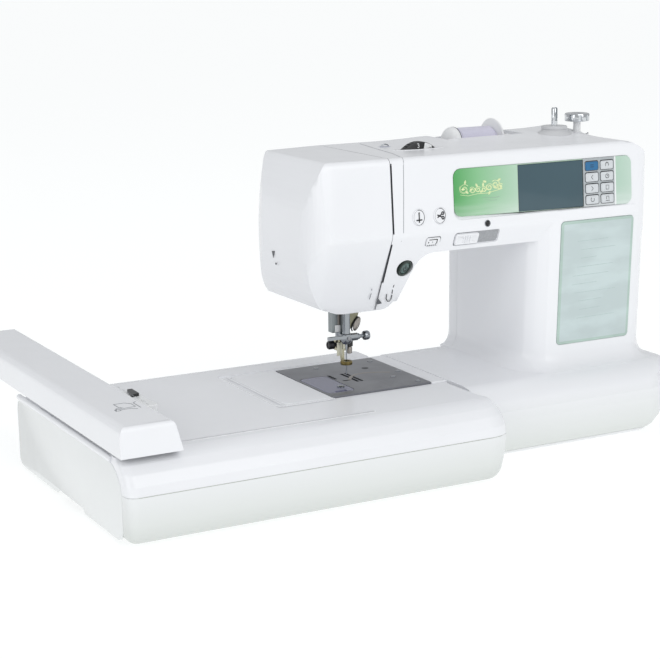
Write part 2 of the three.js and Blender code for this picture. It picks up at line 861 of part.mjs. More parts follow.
function addShafts() {
  const crankDisc = bar(crank.radius, crank.left, shaft.left + 1, "x", 0, shaft.y, shaft.z, 32);
  const pinY = shaft.y - crank.throw;
  const crankPin = bar(3, crank.left - 1.6, crank.left, "x", 0, pinY, shaft.z);
  const main = pulleyShaft(shaft.left, shaft.right, shaft.radius, shaft.y, shaft.z);
  addPiece("main_shaft", join(main, crankDisc, crankPin), "steel");
  const low = pulleyShaft(
    lowerShaft.left,
    lowerShaft.right,
    lowerShaft.radius,
    lowerShaft.y,
    lowerShaft.z,
  );
  const gear = bar(7, hook.x - 4, hook.x + 4, "x", 0, lowerShaft.y, lowerShaft.z);
  addPiece("lower_shaft", join(low, gear), "steel");
  addPiece("timing_belt", beltLoop(), "rubber");
}

// A stadium round two pulleys of one radius, drawn in the YZ plane.
function stadium(radius) {
  const tilt = Math.atan2(shaft.z - lowerShaft.z, shaft.y - lowerShaft.y);
  const right = tilt - Math.PI / 2;
  return new THREE.Shape()
    .absarc(lowerShaft.y, lowerShaft.z, radius, right - Math.PI, right)
    .absarc(shaft.y, shaft.z, radius, right, right + Math.PI);
}

function beltLoop() {
  const shape = stadium(pulley.radius + GAP + 1.5);
  shape.holes.push(stadium(pulley.radius + GAP));
  return slab(shape, pulley.left, pulley.left + pulley.width, PLANE.YZ, 0, 8);
}

// The drive motor: a ribbed can with a boss and a small pulley inside the belt.
function addMotor() {
  const z = 112;
  const share = (z - lowerShaft.z) / (shaft.z - lowerShaft.z);
  const strand = lowerShaft.y + share * (shaft.y - lowerShaft.y) - pulley.radius;
  const y = strand + 6.6;
  const motor = turned(
    [
      [0, 176],
      [17, 176],
      [20, 179],
      [20, 225],
      [17, 228],
      [9, 228],
      [9, 231],
      [2.4, 231],
      [2.4, pulley.left],
      [5.4, pulley.left],
      [5.4, pulley.left + pulley.width],
      [0, pulley.left + pulley.width],
    ],
    "x",
    0,
    y,
    z,
  );
  addPiece("drive_motor", motor, "steel");
}

// The handwheel: a dished wheel with finger scallops round its rim.
function addHandwheel() {
  const left = arm.right + GAP + 0.7;
  const right = left + handwheel.width;
  const { radius } = handwheel;
  const hubEnd = right - 7;
  const wheel = turned(
    [
      [shaft.radius + GAP, left],
      [radius - 3, left],
      [radius, left + 3],
      [radius, right - 5],
      [radius - 5, right],
      [radius - 9, right],
      [radius - 12, hubEnd],
      [shaft.radius + GAP, hubEnd],
      [shaft.radius + GAP, left],
    ],
    "x",
    0,
    shaft.y,
    shaft.z,
    30,
  );
  const scallops = Array.from({ length: 12 }, (_, k) => {
    const angle = (k / 12) * 2 * Math.PI;
    const away = radius + 2.2;
    return bar(
      4,
      left + 3.5,
      right + 1,
      "x",
      0,
      shaft.y + away * Math.cos(angle),
      shaft.z + away * Math.sin(angle),
      10,
    );
  });
  addPiece("handwheel", cut(wheel, ...scallops), "whiteAbs");
}

// ---------------------------------------------------------------- needle and presser

function addNeedleWorks() {
  const barBottom = needleBar.bottom;
  addPiece(
    "needle_bar",
    bar(needleBar.radius, barBottom, needleBar.top, "z", 0, 0, 0, 24),
    "chrome",
  );
  const clampHigh = barBottom - GAP;
  const crossbar = block(-20.5, -5.4, clampHigh - 3.2, 9, -2.6, clampHigh - 0.4);
  const collar = turned(
    [
      [0, clampHigh - 9],
      [3.4, clampHigh - 9],
      [5.4, clampHigh - 6],
      [5.4, clampHigh],
      [0, clampHigh],
    ],
    "z",
    0,
    0,
    0,
    24,
  );
  const boss = bar(3.4, 4, 11, "x", 0, 0, clampHigh - 3.6, 16);
  const shankHole = bar(1.15 + GAP, clampHigh - 12, clampHigh - 2.7, "z", 0, 0, 0, 12);
  addPiece("needle_clamp", cut(join(collar, crossbar, boss), shankHole), "chrome");
  addPiece("needle_clamp_screw", clampScrew(clampHigh - 3.6), "chrome");
  const shankTop = clampHigh - 3;
  const needleBody = turned(
    [
      [0, needle.tip],
      [needle.radius, needle.tip + 3],
      [needle.radius, needle.top - 6],
      [1.15, needle.top - 5],
      [1.15, shankTop],
      [0, shankTop],
    ],
    "z",
    0,
    0,
    0,
    10,
  );
  addPiece("needle", needleBody, "chrome");
}

// The needle clamp's thumbscrew, its knob standing off on a waisted shank.
function clampScrew(z) {
  return turned(
    [
      [0, 11 + GAP],
      [2.6, 11 + GAP],
      [2.6, 13],
      [1.7, 13.6],
      [1.7, 17],
      [3.6, 17.6],
      [4.2, 18.6],
      [4.2, 22],
      [3.4, 23],
      [0, 23],
    ],
    "x",
    0,
    0,
    z,
    20,
  );
}

// The link from the crank to the needle bar, at half stroke; its upper eye is left off the pin.
const ROD = { left: crank.left - 6.6, right: crank.left - 2.2, stud: 190 };

function addConnectingRod() {
  const pinY = shaft.y - crank.throw;
  const eye = bar(6, ROD.left, ROD.right, "x", 0, pinY, shaft.z);
  const hole = bar(3.4, ROD.left - 1, ROD.right + 1, "x", 0, pinY, shaft.z);
  const shape = new THREE.Shape([
    new THREE.Vector2(pinY - 4, shaft.z),
    new THREE.Vector2(-3.4, ROD.stud),
    new THREE.Vector2(3.4, ROD.stud),
    new THREE.Vector2(pinY + 4, shaft.z),
  ]);
  const rod = slab(shape, ROD.left, ROD.right, PLANE.YZ);
  const stud = bar(4, ROD.left, -needleBar.radius - GAP, "x", 0, 0, ROD.stud);
  addPiece("connecting_rod", cut(join(rod, eye, stud), hole), "castAlloy");
}

// The take-up lever: a thin plate that swings in the thread slot.
const TAKE_UP = { y: 8, z: 226, x0: seam.x + GAP + 0.1, x1: seam.x + threadSlot.width - GAP };

function addTakeUpLever() {
  const blade = new THREE.Shape()
    .moveTo(TAKE_UP.y - 2, TAKE_UP.z - 6)
    .lineTo(TAKE_UP.y + 6, TAKE_UP.z)
    .lineTo(TAKE_UP.y, TAKE_UP.z + 6)
    .lineTo(-38, 262)
    .absarc(-42, 262, 4, 0, Math.PI)
    .lineTo(-46, 254)
    .lineTo(-40, 252);
  blade.holes.push(circle(-42, 261, 1.4));
  addPiece("take_up_lever", slab(blade, TAKE_UP.x0, TAKE_UP.x1, PLANE.YZ), "chrome");
}

function addPresser() {
  const { y, radius, bottom, top } = presserBar;
  addPiece("presser_bar", bar(radius, bottom, top, "z", 0, y, 0, 24), "chrome");
  const high = bottom - GAP;
  const shank = slab(rect(-4.5, y - 5.5, 4.5, y + 5.5, 2), high - 11, high, PLANE.XY, 0.6);
  const gooseneck = new THREE.Shape()
    .moveTo(y - 4, high - 10.8)
    .lineTo(y - 4, high - 3)
    .lineTo(y - 5.8, high - 5)
    .lineTo(y - 5.8, foot.ringBottom + 4)
    .lineTo(4.6, foot.ringBottom + 0.4)
    .lineTo(foot.ringRadius + 1.4, foot.ringBottom + 0.4)
    .lineTo(9, foot.ringBottom + 5);
  const neck = slab(gooseneck, -1.5, 1.5, PLANE.YZ);
  const ringShape = circle(0, 0, foot.ringRadius);
  ringShape.holes.push(circle(0, 0, foot.ringHole));
  const ringBody = slab(
    ringShape,
    foot.ringBottom,
    foot.ringBottom + foot.ringHeight,
    PLANE.XY,
    0.4,
  );
  addPiece("embroidery_foot", join(shank, neck, ringBody), "brass");
  const screw = turned(
    [
      [0, -12.2],
      [3.4, -12.2],
      [3.9, -11.6],
      [3.9, -6],
      [2, -5.4],
      [2, -4.5 - GAP],
      [0, -4.5 - GAP],
    ],
    "x",
    0,
    y,
    high - 5.5,
    20,
  );
  addPiece("foot_screw", screw, "blackAbs");
}

// The automatic threader's bracket, which straddles both bars below the head.
function addThreader() {
  const low = 115;
  const high = 141;
  const left = slab(rect(16, low, 21, high, 1), -14.5, -12.9, PLANE.YZ);
  const back = block(-14.5, 19.4, 125, 14, 21, high);
  const flag = new THREE.Shape()
    .moveTo(20, high)
    .lineTo(20, 126)
    .lineTo(9, low + 1)
    .lineTo(4, low + 6)
    .lineTo(12, 128)
    .lineTo(12, high);
  const right = slab(flag, 12.4, 14, PLANE.YZ);
  addPiece("threader_bracket", join(left, back, right), "brass");
}

const LIFTER = { x: 6, y: 32, z: 149 };

// The presser lifter: a cam boss on a pin along Y and a handle that reaches to the right.
function addLifter() {
  const { x, y, z } = LIFTER;
  const handle = new THREE.Shape()
    .moveTo(x, z - 5)
    .lineTo(x + 30, z + 4)
    .quadraticCurveTo(x + 42, z + 8, x + 43, z + 13)
    .quadraticCurveTo(x + 40, z + 15, x + 28, z + 10)
    .lineTo(x, z + 5);
  const lever = slab(handle, y - 4, y + 4, PLANE.XZ, 0.8, 4);
  const boss = bar(5.4, y - 4.4, y + 4.4, "y", x, 0, z, 20);
  addPiece("presser_lifter", join(lever, boss), "greyAbs");
}

// ---------------------------------------------------------------- controls

function addControls() {
  for (const [name, { plane, x, up, radius }] of Object.entries(BUTTONS)) {
    const finish = name === "start_stop_button" ? "blackAbs" : "whiteAbs";
    const body = slab(circle(x, up, radius), -BUTTON_DEEP, BUTTON_PROUD, plane, 0.6);
    addPiece(name, body, finish);
  }
  const { x, up, width, height } = lockButton;
  const outline = rect(x - width / 2, up - height / 2, x + width / 2, up + height / 2, 2.2);
  const lock = slab(outline, -BUTTON_DEEP, BUTTON_PROUD, lowerFace, 0.6);
  addPiece("reinforcement_button", lock, "whiteAbs");
  addPiece("speed_slider", sliderSolid(), "whiteAbs");
  addPiece("tension_dial", dialSolid(), "blackAbs");
}

// The slider's cap with a grip ridge, on a neck that runs in the slot.
function sliderSolid() {
  const low = faceHeight(sliderSlot.low, lowerAngle) + 1;
  const high = faceHeight(sliderSlot.high, lowerAngle) - 1;
  const middle = (low + high) / 2;
  const left = sliderSlot.left + 1;
  const cap = slab(rect(left, low, left + 24, high, 2), -1.1, 1.6, lowerFace, 0.5);
  const ridge = slab(rect(left + 10, low + 2, left + 14, high - 2, 1), 1, 3, lowerFace, 0.4);
  const neck = slab(rect(left + 6, middle - 1.4, left + 14, middle + 1.4), -6, 0, lowerFace);
  return join(cap, ridge, neck);
}

// The tension dial: a knurled thumbwheel on an axle along Y.
function dialSolid() {
  const { x, y, z, radius, thick } = dial;
  return turned(
    [
      [0, y - thick / 2 - 1.5],
      [3, y - thick / 2 - 1.5],
      [3, y - thick / 2],
      [radius - 1, y - thick / 2],
      [radius, y - thick / 2 + 1],
      [radius, y + thick / 2 - 1],
      [radius - 1, y + thick / 2],
      [3, y + thick / 2],
      [3, y + thick / 2 + 8],
      [0, y + thick / 2 + 8],
    ],
    "y",
    x,
    0,
    z,
    28,
  );
}

function addPanel() {
  const low = faceHeight(panel.low);
  const high = faceHeight(panel.high);
  const shape = rect(panel.left, low, panel.right, high, panel.corner);
  shape.holes.push(
    rect(
      lcd.left - GAP,
      faceHeight(lcd.low) - GAP,
      lcd.right + GAP,
      faceHeight(lcd.high) + GAP,
      0.5,
    ),
  );
  for (let k = 0; k < 8; k += 1) {
    const [x0, y0, x1, y1] = keyPlace(k);
    shape.holes.push(rect(x0 - GAP, y0 - GAP, x1 + GAP, y1 + GAP, 2));
  }
  const overlay = slab(shape, GAP - panel.thick, 0.5, upperFace);
  addPiece("panel_overlay", overlay, "greenPanel");
  const screen = rect(lcd.left, faceHeight(lcd.low), lcd.right, faceHeight(lcd.high), 0.5);
  addPiece("lcd_screen", slab(screen, -lcd.depth, 0.1, upperFace, 0.2), "lcdGlass");
  for (let k = 0; k < 8; k += 1) {
    const body = slab(rect(...keyPlace(k), 1.9), -lcd.depth, 1, upperFace, 0.35);
    addPiece(`key_${k + 1}`, body, k === 0 ? "keyBlue" : "keyGrey");
  }
  const cardShape = rect(
    card.left,
    faceHeight(card.low),
    card.right,
    faceHeight(card.high),
    card.corner,
  );
  const cardBody = slab(cardShape, GAP - 1.2, card.thick - 1.2, columnFace, 0.4);
  addPiece("reference_card", cardBody, "paleCard");
}

// ---------------------------------------------------------------- mains parts

const SWITCH = { y: 44, z: 128, width: 14, height: 20 };
const INLET = { y: 44, z: 100, width: 24, height: 17 };

function addMains() {
  const face = arm.right;
  const { y, z, width, height } = SWITCH;
  const rocker = new THREE.Shape()
    .moveTo(face - 7, z - height / 2 + 1)
    .lineTo(face + 1.8, z - height / 2 + 1)
    .lineTo(face + 0.4, z)
    .lineTo(face + 1.8, z + height / 2 - 1)
    .lineTo(face - 7, z + height / 2 - 1);
  const half = width / 2 - 0.6;
  addPiece("power_switch", slab(rocker, y - half, y + half, PLANE.XZ, 0.4), "blackAbs");
  const inletBlock = (x0, x1, wall) =>
    block(
      x0,
      INLET.y - INLET.width / 2 + wall,
      INLET.z - INLET.height / 2 + wall,
      x1,
      INLET.y + INLET.width / 2 - wall,
      INLET.z + INLET.height / 2 - wall,
    );
  const body = inletBlock(face - 14, face + 1, 0);
  const socket = inletBlock(face - 10, face + 3, 3);
  const pins = [-4, 4].map((offset) =>
    bar(1.2, face - 11, face - 1.5, "x", 0, INLET.y + offset, INLET.z, 10),
  );
  addPiece("power_inlet", join(cut(body, socket), ...pins), "blackAbs");
}

// ---------------------------------------------------------------- thread supply and winder

function addThreadSupply() {
  const { y, z, radius, left, right } = spool;
  const discLeft = right + GAP;
  const pin = turned(
    [
      [0, left - 15],
      [2.4, left - 15],
      [3, left - 13],
      [3, discLeft],
      [spool.disc - 1, discLeft],
      [spool.disc, discLeft + 1],
      [spool.disc - 1, discLeft + 3.5],
      [6, discLeft + 6],
      [6, trough.right - GAP],
      [0, trough.right - GAP],
    ],
    "x",
    0,
    y,
    z,
    28,
  );
  addPiece("spool_pin", pin, "whiteAbs");
  const bore = 3 + GAP;
  const thread = turned(
    [
      [bore, left],
      [radius - 2, left],
      [radius - 2, left + 1.5],
      [radius, left + 3],
      [radius, right - 3],
      [radius - 2, right - 1.5],
      [radius - 2, right],
      [bore, right],
      [bore, left],
    ],
    "x",
    0,
    y,
    z,
    24,
  );
  addPiece("thread_spool", thread, "thread");
  const rim = left - GAP;
  const dome = Array.from({ length: 6 }, (_, k) => {
    const angle = (k / 6) * (Math.PI / 2);
    return [spool.cap * Math.cos(angle), rim - 2 - 8.4 * Math.sin(angle)];
  });
  const cap = turned(
    [[bore, rim], [spool.cap, rim], ...dome, [bore, rim - 10.4], [bore, rim]],
    "x",
    0,
    y,
    z,
    24,
  );
  addPiece("spool_cap", cap, "whiteAbs");
}

function addWinder() {
  const { x, y, radius, top, seat } = winder;
  const low = arm.top + GAP;
  const bore = radius + GAP;
  const socket = low + 2;
  const cone = turned(
    [
      [0, arm.top - 20],
      [8, arm.top - 20],
      [8, arm.top - 16],
      [radius, arm.top - 16],
      [radius, low],
      [seat - 2, low],
      [seat, low + 2],
      [seat - 1, low + 5.5],
      [bore + 5, low + 9],
      [bore, low + 9],
      [bore, socket],
      [0, socket],
    ],
    "z",
    x,
    y,
    0,
    28,
  );
  addPiece("winder_seat", cone, "greyAbs");
  const spindle = turned(
    [
      [0, socket + GAP],
      [radius, socket + GAP],
      [radius, top - 1],
      [radius - 0.8, top],
      [0, top],
    ],
    "z",
    x,
    y,
    0,
    24,
  );
  const slit = block(x - 0.6, y - 5, top - 12, x + 0.6, y + 5, top + 1);
  addPiece("winder_shaft", cut(spindle, slit), "chrome");
  const post = turned(
    [
      [0, arm.top - 10],
      [winderStop.post, arm.top - 10],
      [winderStop.post, top - 12],
      [winderStop.radius - 1, top - 12],
      [winderStop.radius, top - 11],
      [winderStop.radius, top - 7.6],
      [winderStop.radius - 1, top - 6.6],
      [0, top - 6.6],
    ],
    "z",
    winderStop.x,
    y,
    0,
    28,
  );
  const scallops = Array.from({ length: 9 }, (_, k) => {
    const angle = (k / 9) * 2 * Math.PI;
    const away = winderStop.radius + 1.4;
    return bar(
      3,
      top - 13,
      top - 5,
      "z",
      winderStop.x + away * Math.cos(angle),
      y + away * Math.sin(angle),
      0,
      12,
    );
  });
  addPiece("winder_stop", cut(post, ...scallops), "chrome");
}

// ---------------------------------------------------------------- embroidery unit

// The unit's block before the free arm's bay is cut from it, smaller by a wall all round.
function unitBlock(wall) {
  const low = unitBottom + wall;
  const high = BED - wall;
  const front = unitRound.front - wall;
  const under = unitRound.under - wall;
  const rings = rollLevels(low, high, under, front).map((z) => {
    const frontIn = rollIn(z, low, high, under, front) + wall;
    const backIn = rollIn(z, low, high, under, unitRound.back - wall) + wall;
    const sideIn = rollIn(z, low, high, under, Math.max(0.6, unitRound.side - wall)) + wall;
    const corner = Math.max(unitRound.corner - sideIn, 2);
    const rightCorner = Math.max(unitRound.rightCorner - sideIn, 2);
    return ring(
      unit.left + sideIn,
      unit.front + frontIn,
      unit.right - sideIn,
      unit.back - backIn,
      z,
      [corner, rightCorner, rightCorner, corner],
    );
  });
  return loft(rings);
}

// The bay that the free arm and the base's shoulders sit in, grown by a wall for the unit's inside.
function unitBay(wall) {
  const left = freeArm.left - GAP - wall;
  const front = freeArm.front - GAP - wall;
  const back = freeArm.back + GAP + wall;
  const bay = slab(
    rect(left, front, unit.right + 20, back, [freeArm.corner, 0, 0, freeArm.corner]),
    -5,
    BED + 5,
  );
  const shortLeg = block(unit.rearRight - wall, back - 5, -5, unit.right + 20, unit.back + 5, BED + 5);
  const shoulder = block(base.left - GAP - 4 - wall, -FAR, -5, unit.right + 20, FAR, BED + 5);
  return wall ? join(bay, shortLeg, shoulder) : join(bay, shortLeg);
}

function unitSlots() {
  return [unitSlot.front, unitSlot.back].map((y) =>
    block(
      unitSlot.left,
      y - unitSlot.width / 2,
      BED - unitWall - 3,
      unitSlot.right,
      y + unitSlot.width / 2,
      BED + 2,
    ),
  );
}

function addUnit() {
  const shell = unitBlock(0)
    .subtract(unitBay(0))
    .subtract(unitBlock(unitWall).subtract(unitBay(unitWall)));
  const step = slab(
    rect(
      freeArm.left - ledge.width,
      freeArm.front - ledge.width,
      unit.right + 20,
      freeArm.back + 3,
      [3, 0, 0, 3],
    ),
    BED - ledge.drop,
    BED + 5,
  );
  const top = cut(
    shell.intersect(region(-FAR, FAR, -FAR, FAR, unit.seam + GAP, FAR)),
    step,
    ...unitSlots(),
  );
  addPiece("unit_top_cover", top, "whiteAbs");
  const grip = turned(
    [
      [0, -8],
      [27, -8],
      [24, 26],
      [0, 26],
    ],
    "x",
    unit.left,
    -12,
    -14,
    30,
  );
  const lower = cut(shell.intersect(region(-FAR, FAR, -FAR, FAR, 0, unit.seam)), grip);
  const feet = [
    [unit.left + 24, unit.front + 26],
    [unit.left + 24, unit.back - 26],
    [unit.right - 40, unit.front + 26],
    [unit.rearRight - 30, unit.back - 24],
  ].map(([x, y]) => bar(8, 0, unitBottom + 1, "z", x, y, 0, 20));
  addPiece("unit_bottom_case", join(lower, ...feet), "greyAbs");
}

// The release lever in the unit's underside, reached through the arch in its left wall.
function addReleaseLever() {
  const low = unitBottom + unitWall + 0.9;
  const shape = new THREE.Shape()
    .moveTo(unit.left + 6, low)
    .lineTo(unit.left + 22, low)
    .lineTo(unit.left + 22, low + 2.4)
    .lineTo(unit.left + 10, low + 4)
    .lineTo(unit.left + 6, low + 4);
  addPiece("unit_release_lever", slab(shape, -24, 0, PLANE.XZ, 0.5), "greyAbs");
}

function addUnitDrive() {
  const rod = bar(4, unit.left + 14, unitSlot.right + 10, "x", 0, unitSlot.front, 50, 16);
  addPiece("x_guide_rod", rod, "steel");
}

// The carriage seen from its end: upright left side, eased top, raked right side.
function carriageSection(wall) {
  const { left, right, bottom, top } = carriage;
  const low = wall ? bottom - 5 : bottom;
  return new THREE.Shape()
    .moveTo(left + wall, low)
    .lineTo(right - wall, low)
    .lineTo(right - 5 - wall, top - 5 - wall)
    .quadraticCurveTo(right - 6 - wall, top - wall, right - 11 - wall, top - wall)
    .lineTo(left + 7 + wall, top - wall)
    .quadraticCurveTo(left + 1 + wall, top - wall, left + wall, top - 8 - wall);
}

function addCarriage() {
  const { left, right, front, back, bottom, top } = carriage;
  const section = slab(carriageSection(0), front, back, PLANE.XZ, 0, 4);
  const side = new THREE.Shape()
    .moveTo(front, bottom)
    .lineTo(back, bottom)
    .lineTo(back, top - 8)
    .quadraticCurveTo(back, top, back - 8, top)
    .lineTo(front + 7, top)
    .quadraticCurveTo(front + 2, top, front + 1.4, top - 5);
  const outer = section.intersect(slab(side, left - 5, right + 5, PLANE.YZ, 0, 4));
  const inner = slab(carriageSection(2.2), front + 3, back - 3, PLANE.XZ, 0, 4);
  const window = block(
    right - 16,
    holder.front - HOLDER_TRAVEL.front - 3,
    holder.low - 1,
    right + 5,
    holder.back + HOLDER_TRAVEL.back + 3,
    holder.high + 1,
  );
  const blades = [unitSlot.front, unitSlot.back].map((y) =>
    block(-251, y - 0.5, BED - 5, -237, y + 0.5, top - 1.4),
  );
  addPiece("carriage_arm", join(cut(outer, inner, window), ...blades), "whiteAbs");
  addHolder();
}

const HOLDER_TRAVEL = { front: 45, back: 120 };

// The frame holder, which slides along the carriage and stands out of its right side.
function addHolder() {
  const { front, back, low, high, reach } = holder;
  const x1 = carriage.right + reach;
  const outline = rect(carriage.right - 12, front, x1, back, [1, 4, 4, 1]);
  const body = slab(outline, low, high, PLANE.XY, 0.6);
  const clip = block(x1 - 7, front + 12, high - 6, x1 + 2, back - 12, high + 2);
  addPiece("frame_holder", cut(body, clip), "blackAbs");
  const lever = slab(
    rect(x1 - 6.4, front + 12.6, x1 - 0.6, back - 13.6, 1.6),
    high - 4.4,
    high - 0.4,
    PLANE.XY,
    0.5,
  );
  addPiece("frame_lock_lever", lever, "greyAbs");
}

// ---------------------------------------------------------------- assembly

addHousing();
addFreeArm();
addNeedlePlate();
addFeedDog();
addHook();
addChassis();
addShafts();
addMotor();
addHandwheel();
addNeedleWorks();
addConnectingRod();
addTakeUpLever();
addPresser();
addThreader();
addLifter();
addControls();
addPanel();
addMains();
addThreadSupply();
addWinder();
addUnit();
addReleaseLever();
addUnitDrive();
addCarriage();

// The origin: the middle of the footprint, on the table.
const footprint = new THREE.Box3().setFromObject(machine);
const middle = footprint.getCenter(new THREE.Vector3());
machine.position.set(-middle.x, -middle.y, -footprint.min.z);

export default machine;
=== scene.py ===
"""The looks of a free-arm embroidery machine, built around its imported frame."""

import math

import bmesh
import bpy
from mathutils import Matrix, Vector


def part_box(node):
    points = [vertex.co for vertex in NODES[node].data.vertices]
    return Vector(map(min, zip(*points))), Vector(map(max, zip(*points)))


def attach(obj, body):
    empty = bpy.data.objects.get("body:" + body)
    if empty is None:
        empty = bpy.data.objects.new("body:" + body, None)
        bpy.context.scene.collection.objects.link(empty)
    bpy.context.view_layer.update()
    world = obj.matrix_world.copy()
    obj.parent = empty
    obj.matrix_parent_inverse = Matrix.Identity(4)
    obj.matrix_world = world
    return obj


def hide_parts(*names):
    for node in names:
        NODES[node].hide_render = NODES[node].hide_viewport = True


bl_info = {
    "name": "Embroidery machine",
    "version": (1, 0, 0),
    "blender": (4, 5, 0),
    "location": "3D View > Sidebar > Machine",
    "description": "Builds the looks of a free-arm embroidery machine around its frame",
    "category": "Object",
}

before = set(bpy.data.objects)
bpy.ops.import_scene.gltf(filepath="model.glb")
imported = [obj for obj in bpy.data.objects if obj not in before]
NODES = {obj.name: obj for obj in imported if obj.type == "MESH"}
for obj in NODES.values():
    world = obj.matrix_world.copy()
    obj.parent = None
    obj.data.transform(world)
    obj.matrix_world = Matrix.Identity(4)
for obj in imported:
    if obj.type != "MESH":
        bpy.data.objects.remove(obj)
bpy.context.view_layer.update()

MM = 0.001

# Heights over the table in millimetres, and places from the needle that several pieces share.
TOP = 272.0  # the housing's top
BED = 68.6  # the unit's top
PLATE = 69.0  # the needle plate's top
SEAM = 41.15  # the split between the unit's two covers
SPOOL = (0, 57, 266)  # a point on the spool's axis
DIAL = (73.5, -2, 255.5)  # the tension dial's centre
DIAL_FACE = (73.5, -5.95, 255.5)

NEEDLE = sum(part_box("needle"), Vector()) / 2


def at(x, y, z):
    """A place in millimetres from the needle, at table height, in the row's metres."""
    return Vector((NEEDLE.x + x * MM, NEEDLE.y + y * MM, z * MM))


# ---------------------------------------------------------------- colours and sizes


def linear(code):
    """An sRGB hex colour as linear RGBA."""
    values = [int(code[i : i + 2], 16) / 255 for i in (1, 3, 5)]
    bent = [v / 12.92 if v <= 0.04045 else ((v + 0.055) / 1.055) ** 2.4 for v in values]
    return (*bent, 1.0)


def colour(name, code, description):
    return bpy.props.FloatVectorProperty(
        name=name,
        description=description,
        default=linear(code),
        size=4,
        min=0.0,
        max=1.0,
        subtype="COLOR",
    )


def length(name, default, least, description):
    """A length from millimetres, a millimetre at most."""
    return bpy.props.FloatProperty(
        name=name,
        description=description,
        default=default * MM,
        min=least * MM,
        max=MM,
        unit="LENGTH",
    )


class MachineColours(bpy.types.PropertyGroup):
    """The colours of the machine's mouldings, prints and metals."""

    shell: colour("Shell", "#EEEFF2", "Glossy outer mouldings")
    lower: colour("Lower case", "#E9EAEB", "Satin lower mouldings")
    black: colour("Black parts", "#17181A", "Dial, holder and sockets")
    panel_dark: colour("Panel left", "#4BA356", "Deep end of the panel's print")
    panel_mid: colour("Panel middle", "#84BF8B", "Middle of the panel's print")
    panel_pale: colour("Panel right", "#B2D1B9", "Pale end of the panel's print")
    strip: colour("Side strip", "#B0CDBB", "Print right of the keys")
    card: colour("Card", "#BCCACA", "Reference card")
    card_edge: colour("Card edge", "#ABC1B8", "Bevelled edge of the card")
    display: colour("Display", "#475D66", "Unlit display")
    key: colour("Keys", "#D3D7DA", "Light keys")
    key_main: colour("Main key", "#2C6D9C", "The blue key")
    thread: colour("Thread", "#DBD9EB", "Thread on the spool")
    ink: colour("Ink", "#26282C", "Printed symbols")
    floor: colour("Floor", "#FBFCFC", "Studio floor")


class MachineSizes(bpy.types.PropertyGroup):
    """The sizes of the small features that the frame doesn't hold."""

    line: length("Printed line", 0.42, 0.05, "Radius of a printed symbol's stroke")
    seam: length("Seam line", 0.34, 0.1, "Radius of the dark line in a seam between mouldings")
    easing: length("Eased edge", 0.35, 0.05, "Radius on the hard edges of small mouldings")
    notches: bpy.props.IntProperty(
        name="Dial notches",
        description="Notches round the tension dial",
        default=40,
        min=12,
        max=90,
    )


# ---------------------------------------------------------------- materials


def put(tree, kind, inputs=None, stops=None, **settings):
    """Adds a node with its settings, its ramp stops, and its inputs set or linked."""
    node = tree.nodes.new(kind)
    for key, value in settings.items():
        setattr(node, key, value)
    for key, value in (inputs or {}).items():
        if isinstance(value, bpy.types.NodeSocket):
            tree.links.new(value, node.inputs[key])
        else:
            node.inputs[key].default_value = value
    if stops:
        ramp = node.color_ramp.elements
        while len(ramp) < len(stops):
            ramp.new(1.0)
        for element, (position, shade) in zip(ramp, stops):
            element.position = position
            element.color = shade
    return node


def begin(name, **shader):
    """A new material, with its tree and its principled shader set to these constants."""
    material = bpy.data.materials.new(name)
    material.use_nodes = True
    tree = material.node_tree
    bsdf = tree.nodes["Principled BSDF"]
    for key, value in shader.items():
        bsdf.inputs[key.replace("_", " ")].default_value = value
    return material, tree, bsdf


def mottle(tree, size, stretch=(1, 1, 1), detail=2.0):
    """A noise whose blobs are size millimetres across, stretched along the row's axes."""
    place = put(tree, "ShaderNodeTexCoord").outputs["Object"]
    mapped = put(tree, "ShaderNodeMapping", {"Vector": place, "Scale": stretch})
    return put(
        tree,
        "ShaderNodeTexNoise",
        {"Vector": mapped.outputs["Vector"], "Scale": 1 / (size * MM), "Detail": detail},
    ).outputs["Fac"]


def colour_by(tree, value, stops):
    """Colours the surface by a pattern's value."""
    ramp = put(tree, "ShaderNodeValToRGB", {"Fac": value}, stops=stops)
    base = tree.nodes["Principled BSDF"].inputs["Base Color"]
    tree.links.new(ramp.outputs["Color"], base)


def breathe(tree, shade, amount, size):
    """Gives a colour a slow drift of tone, darker by amount at its darkest."""
    dark = tuple(c * (1 - amount) for c in shade[:3]) + (1.0,)
    colour_by(tree, mottle(tree, size), [(0.3, dark), (0.7, tuple(shade))])


def uneven_gloss(tree, bsdf, low, high, size, stretch=(1, 1, 1)):
    """Lets the roughness wander between low and high."""
    spread = put(
        tree,
        "ShaderNodeMapRange",
        {"Value": mottle(tree, size, stretch), "To Min": low, "To Max": high},
    )
    tree.links.new(spread.outputs["Result"], bsdf.inputs["Roughness"])


def emboss(tree, bsdf, height, depth, strength=1.0):
    """Raises the surface by a pattern, depth millimetres from its lowest to its highest."""
    bump = put(
        tree,
        "ShaderNodeBump",
        {"Height": height, "Distance": depth * MM, "Strength": strength},
    )
    tree.links.new(bump.outputs["Normal"], bsdf.inputs["Normal"])


def glossy_abs(shade):
    # ABS from a polished tool: a clear soft gloss with a faint orange peel about 3 mm across.
    material, tree, bsdf = begin("moulded_glossy_abs", IOR=1.53)
    breathe(tree, shade, 0.02, 70)
    uneven_gloss(tree, bsdf, 0.2, 0.28, 25)
    emboss(tree, bsdf, mottle(tree, 3.2), 0.02, 0.25)
    return material


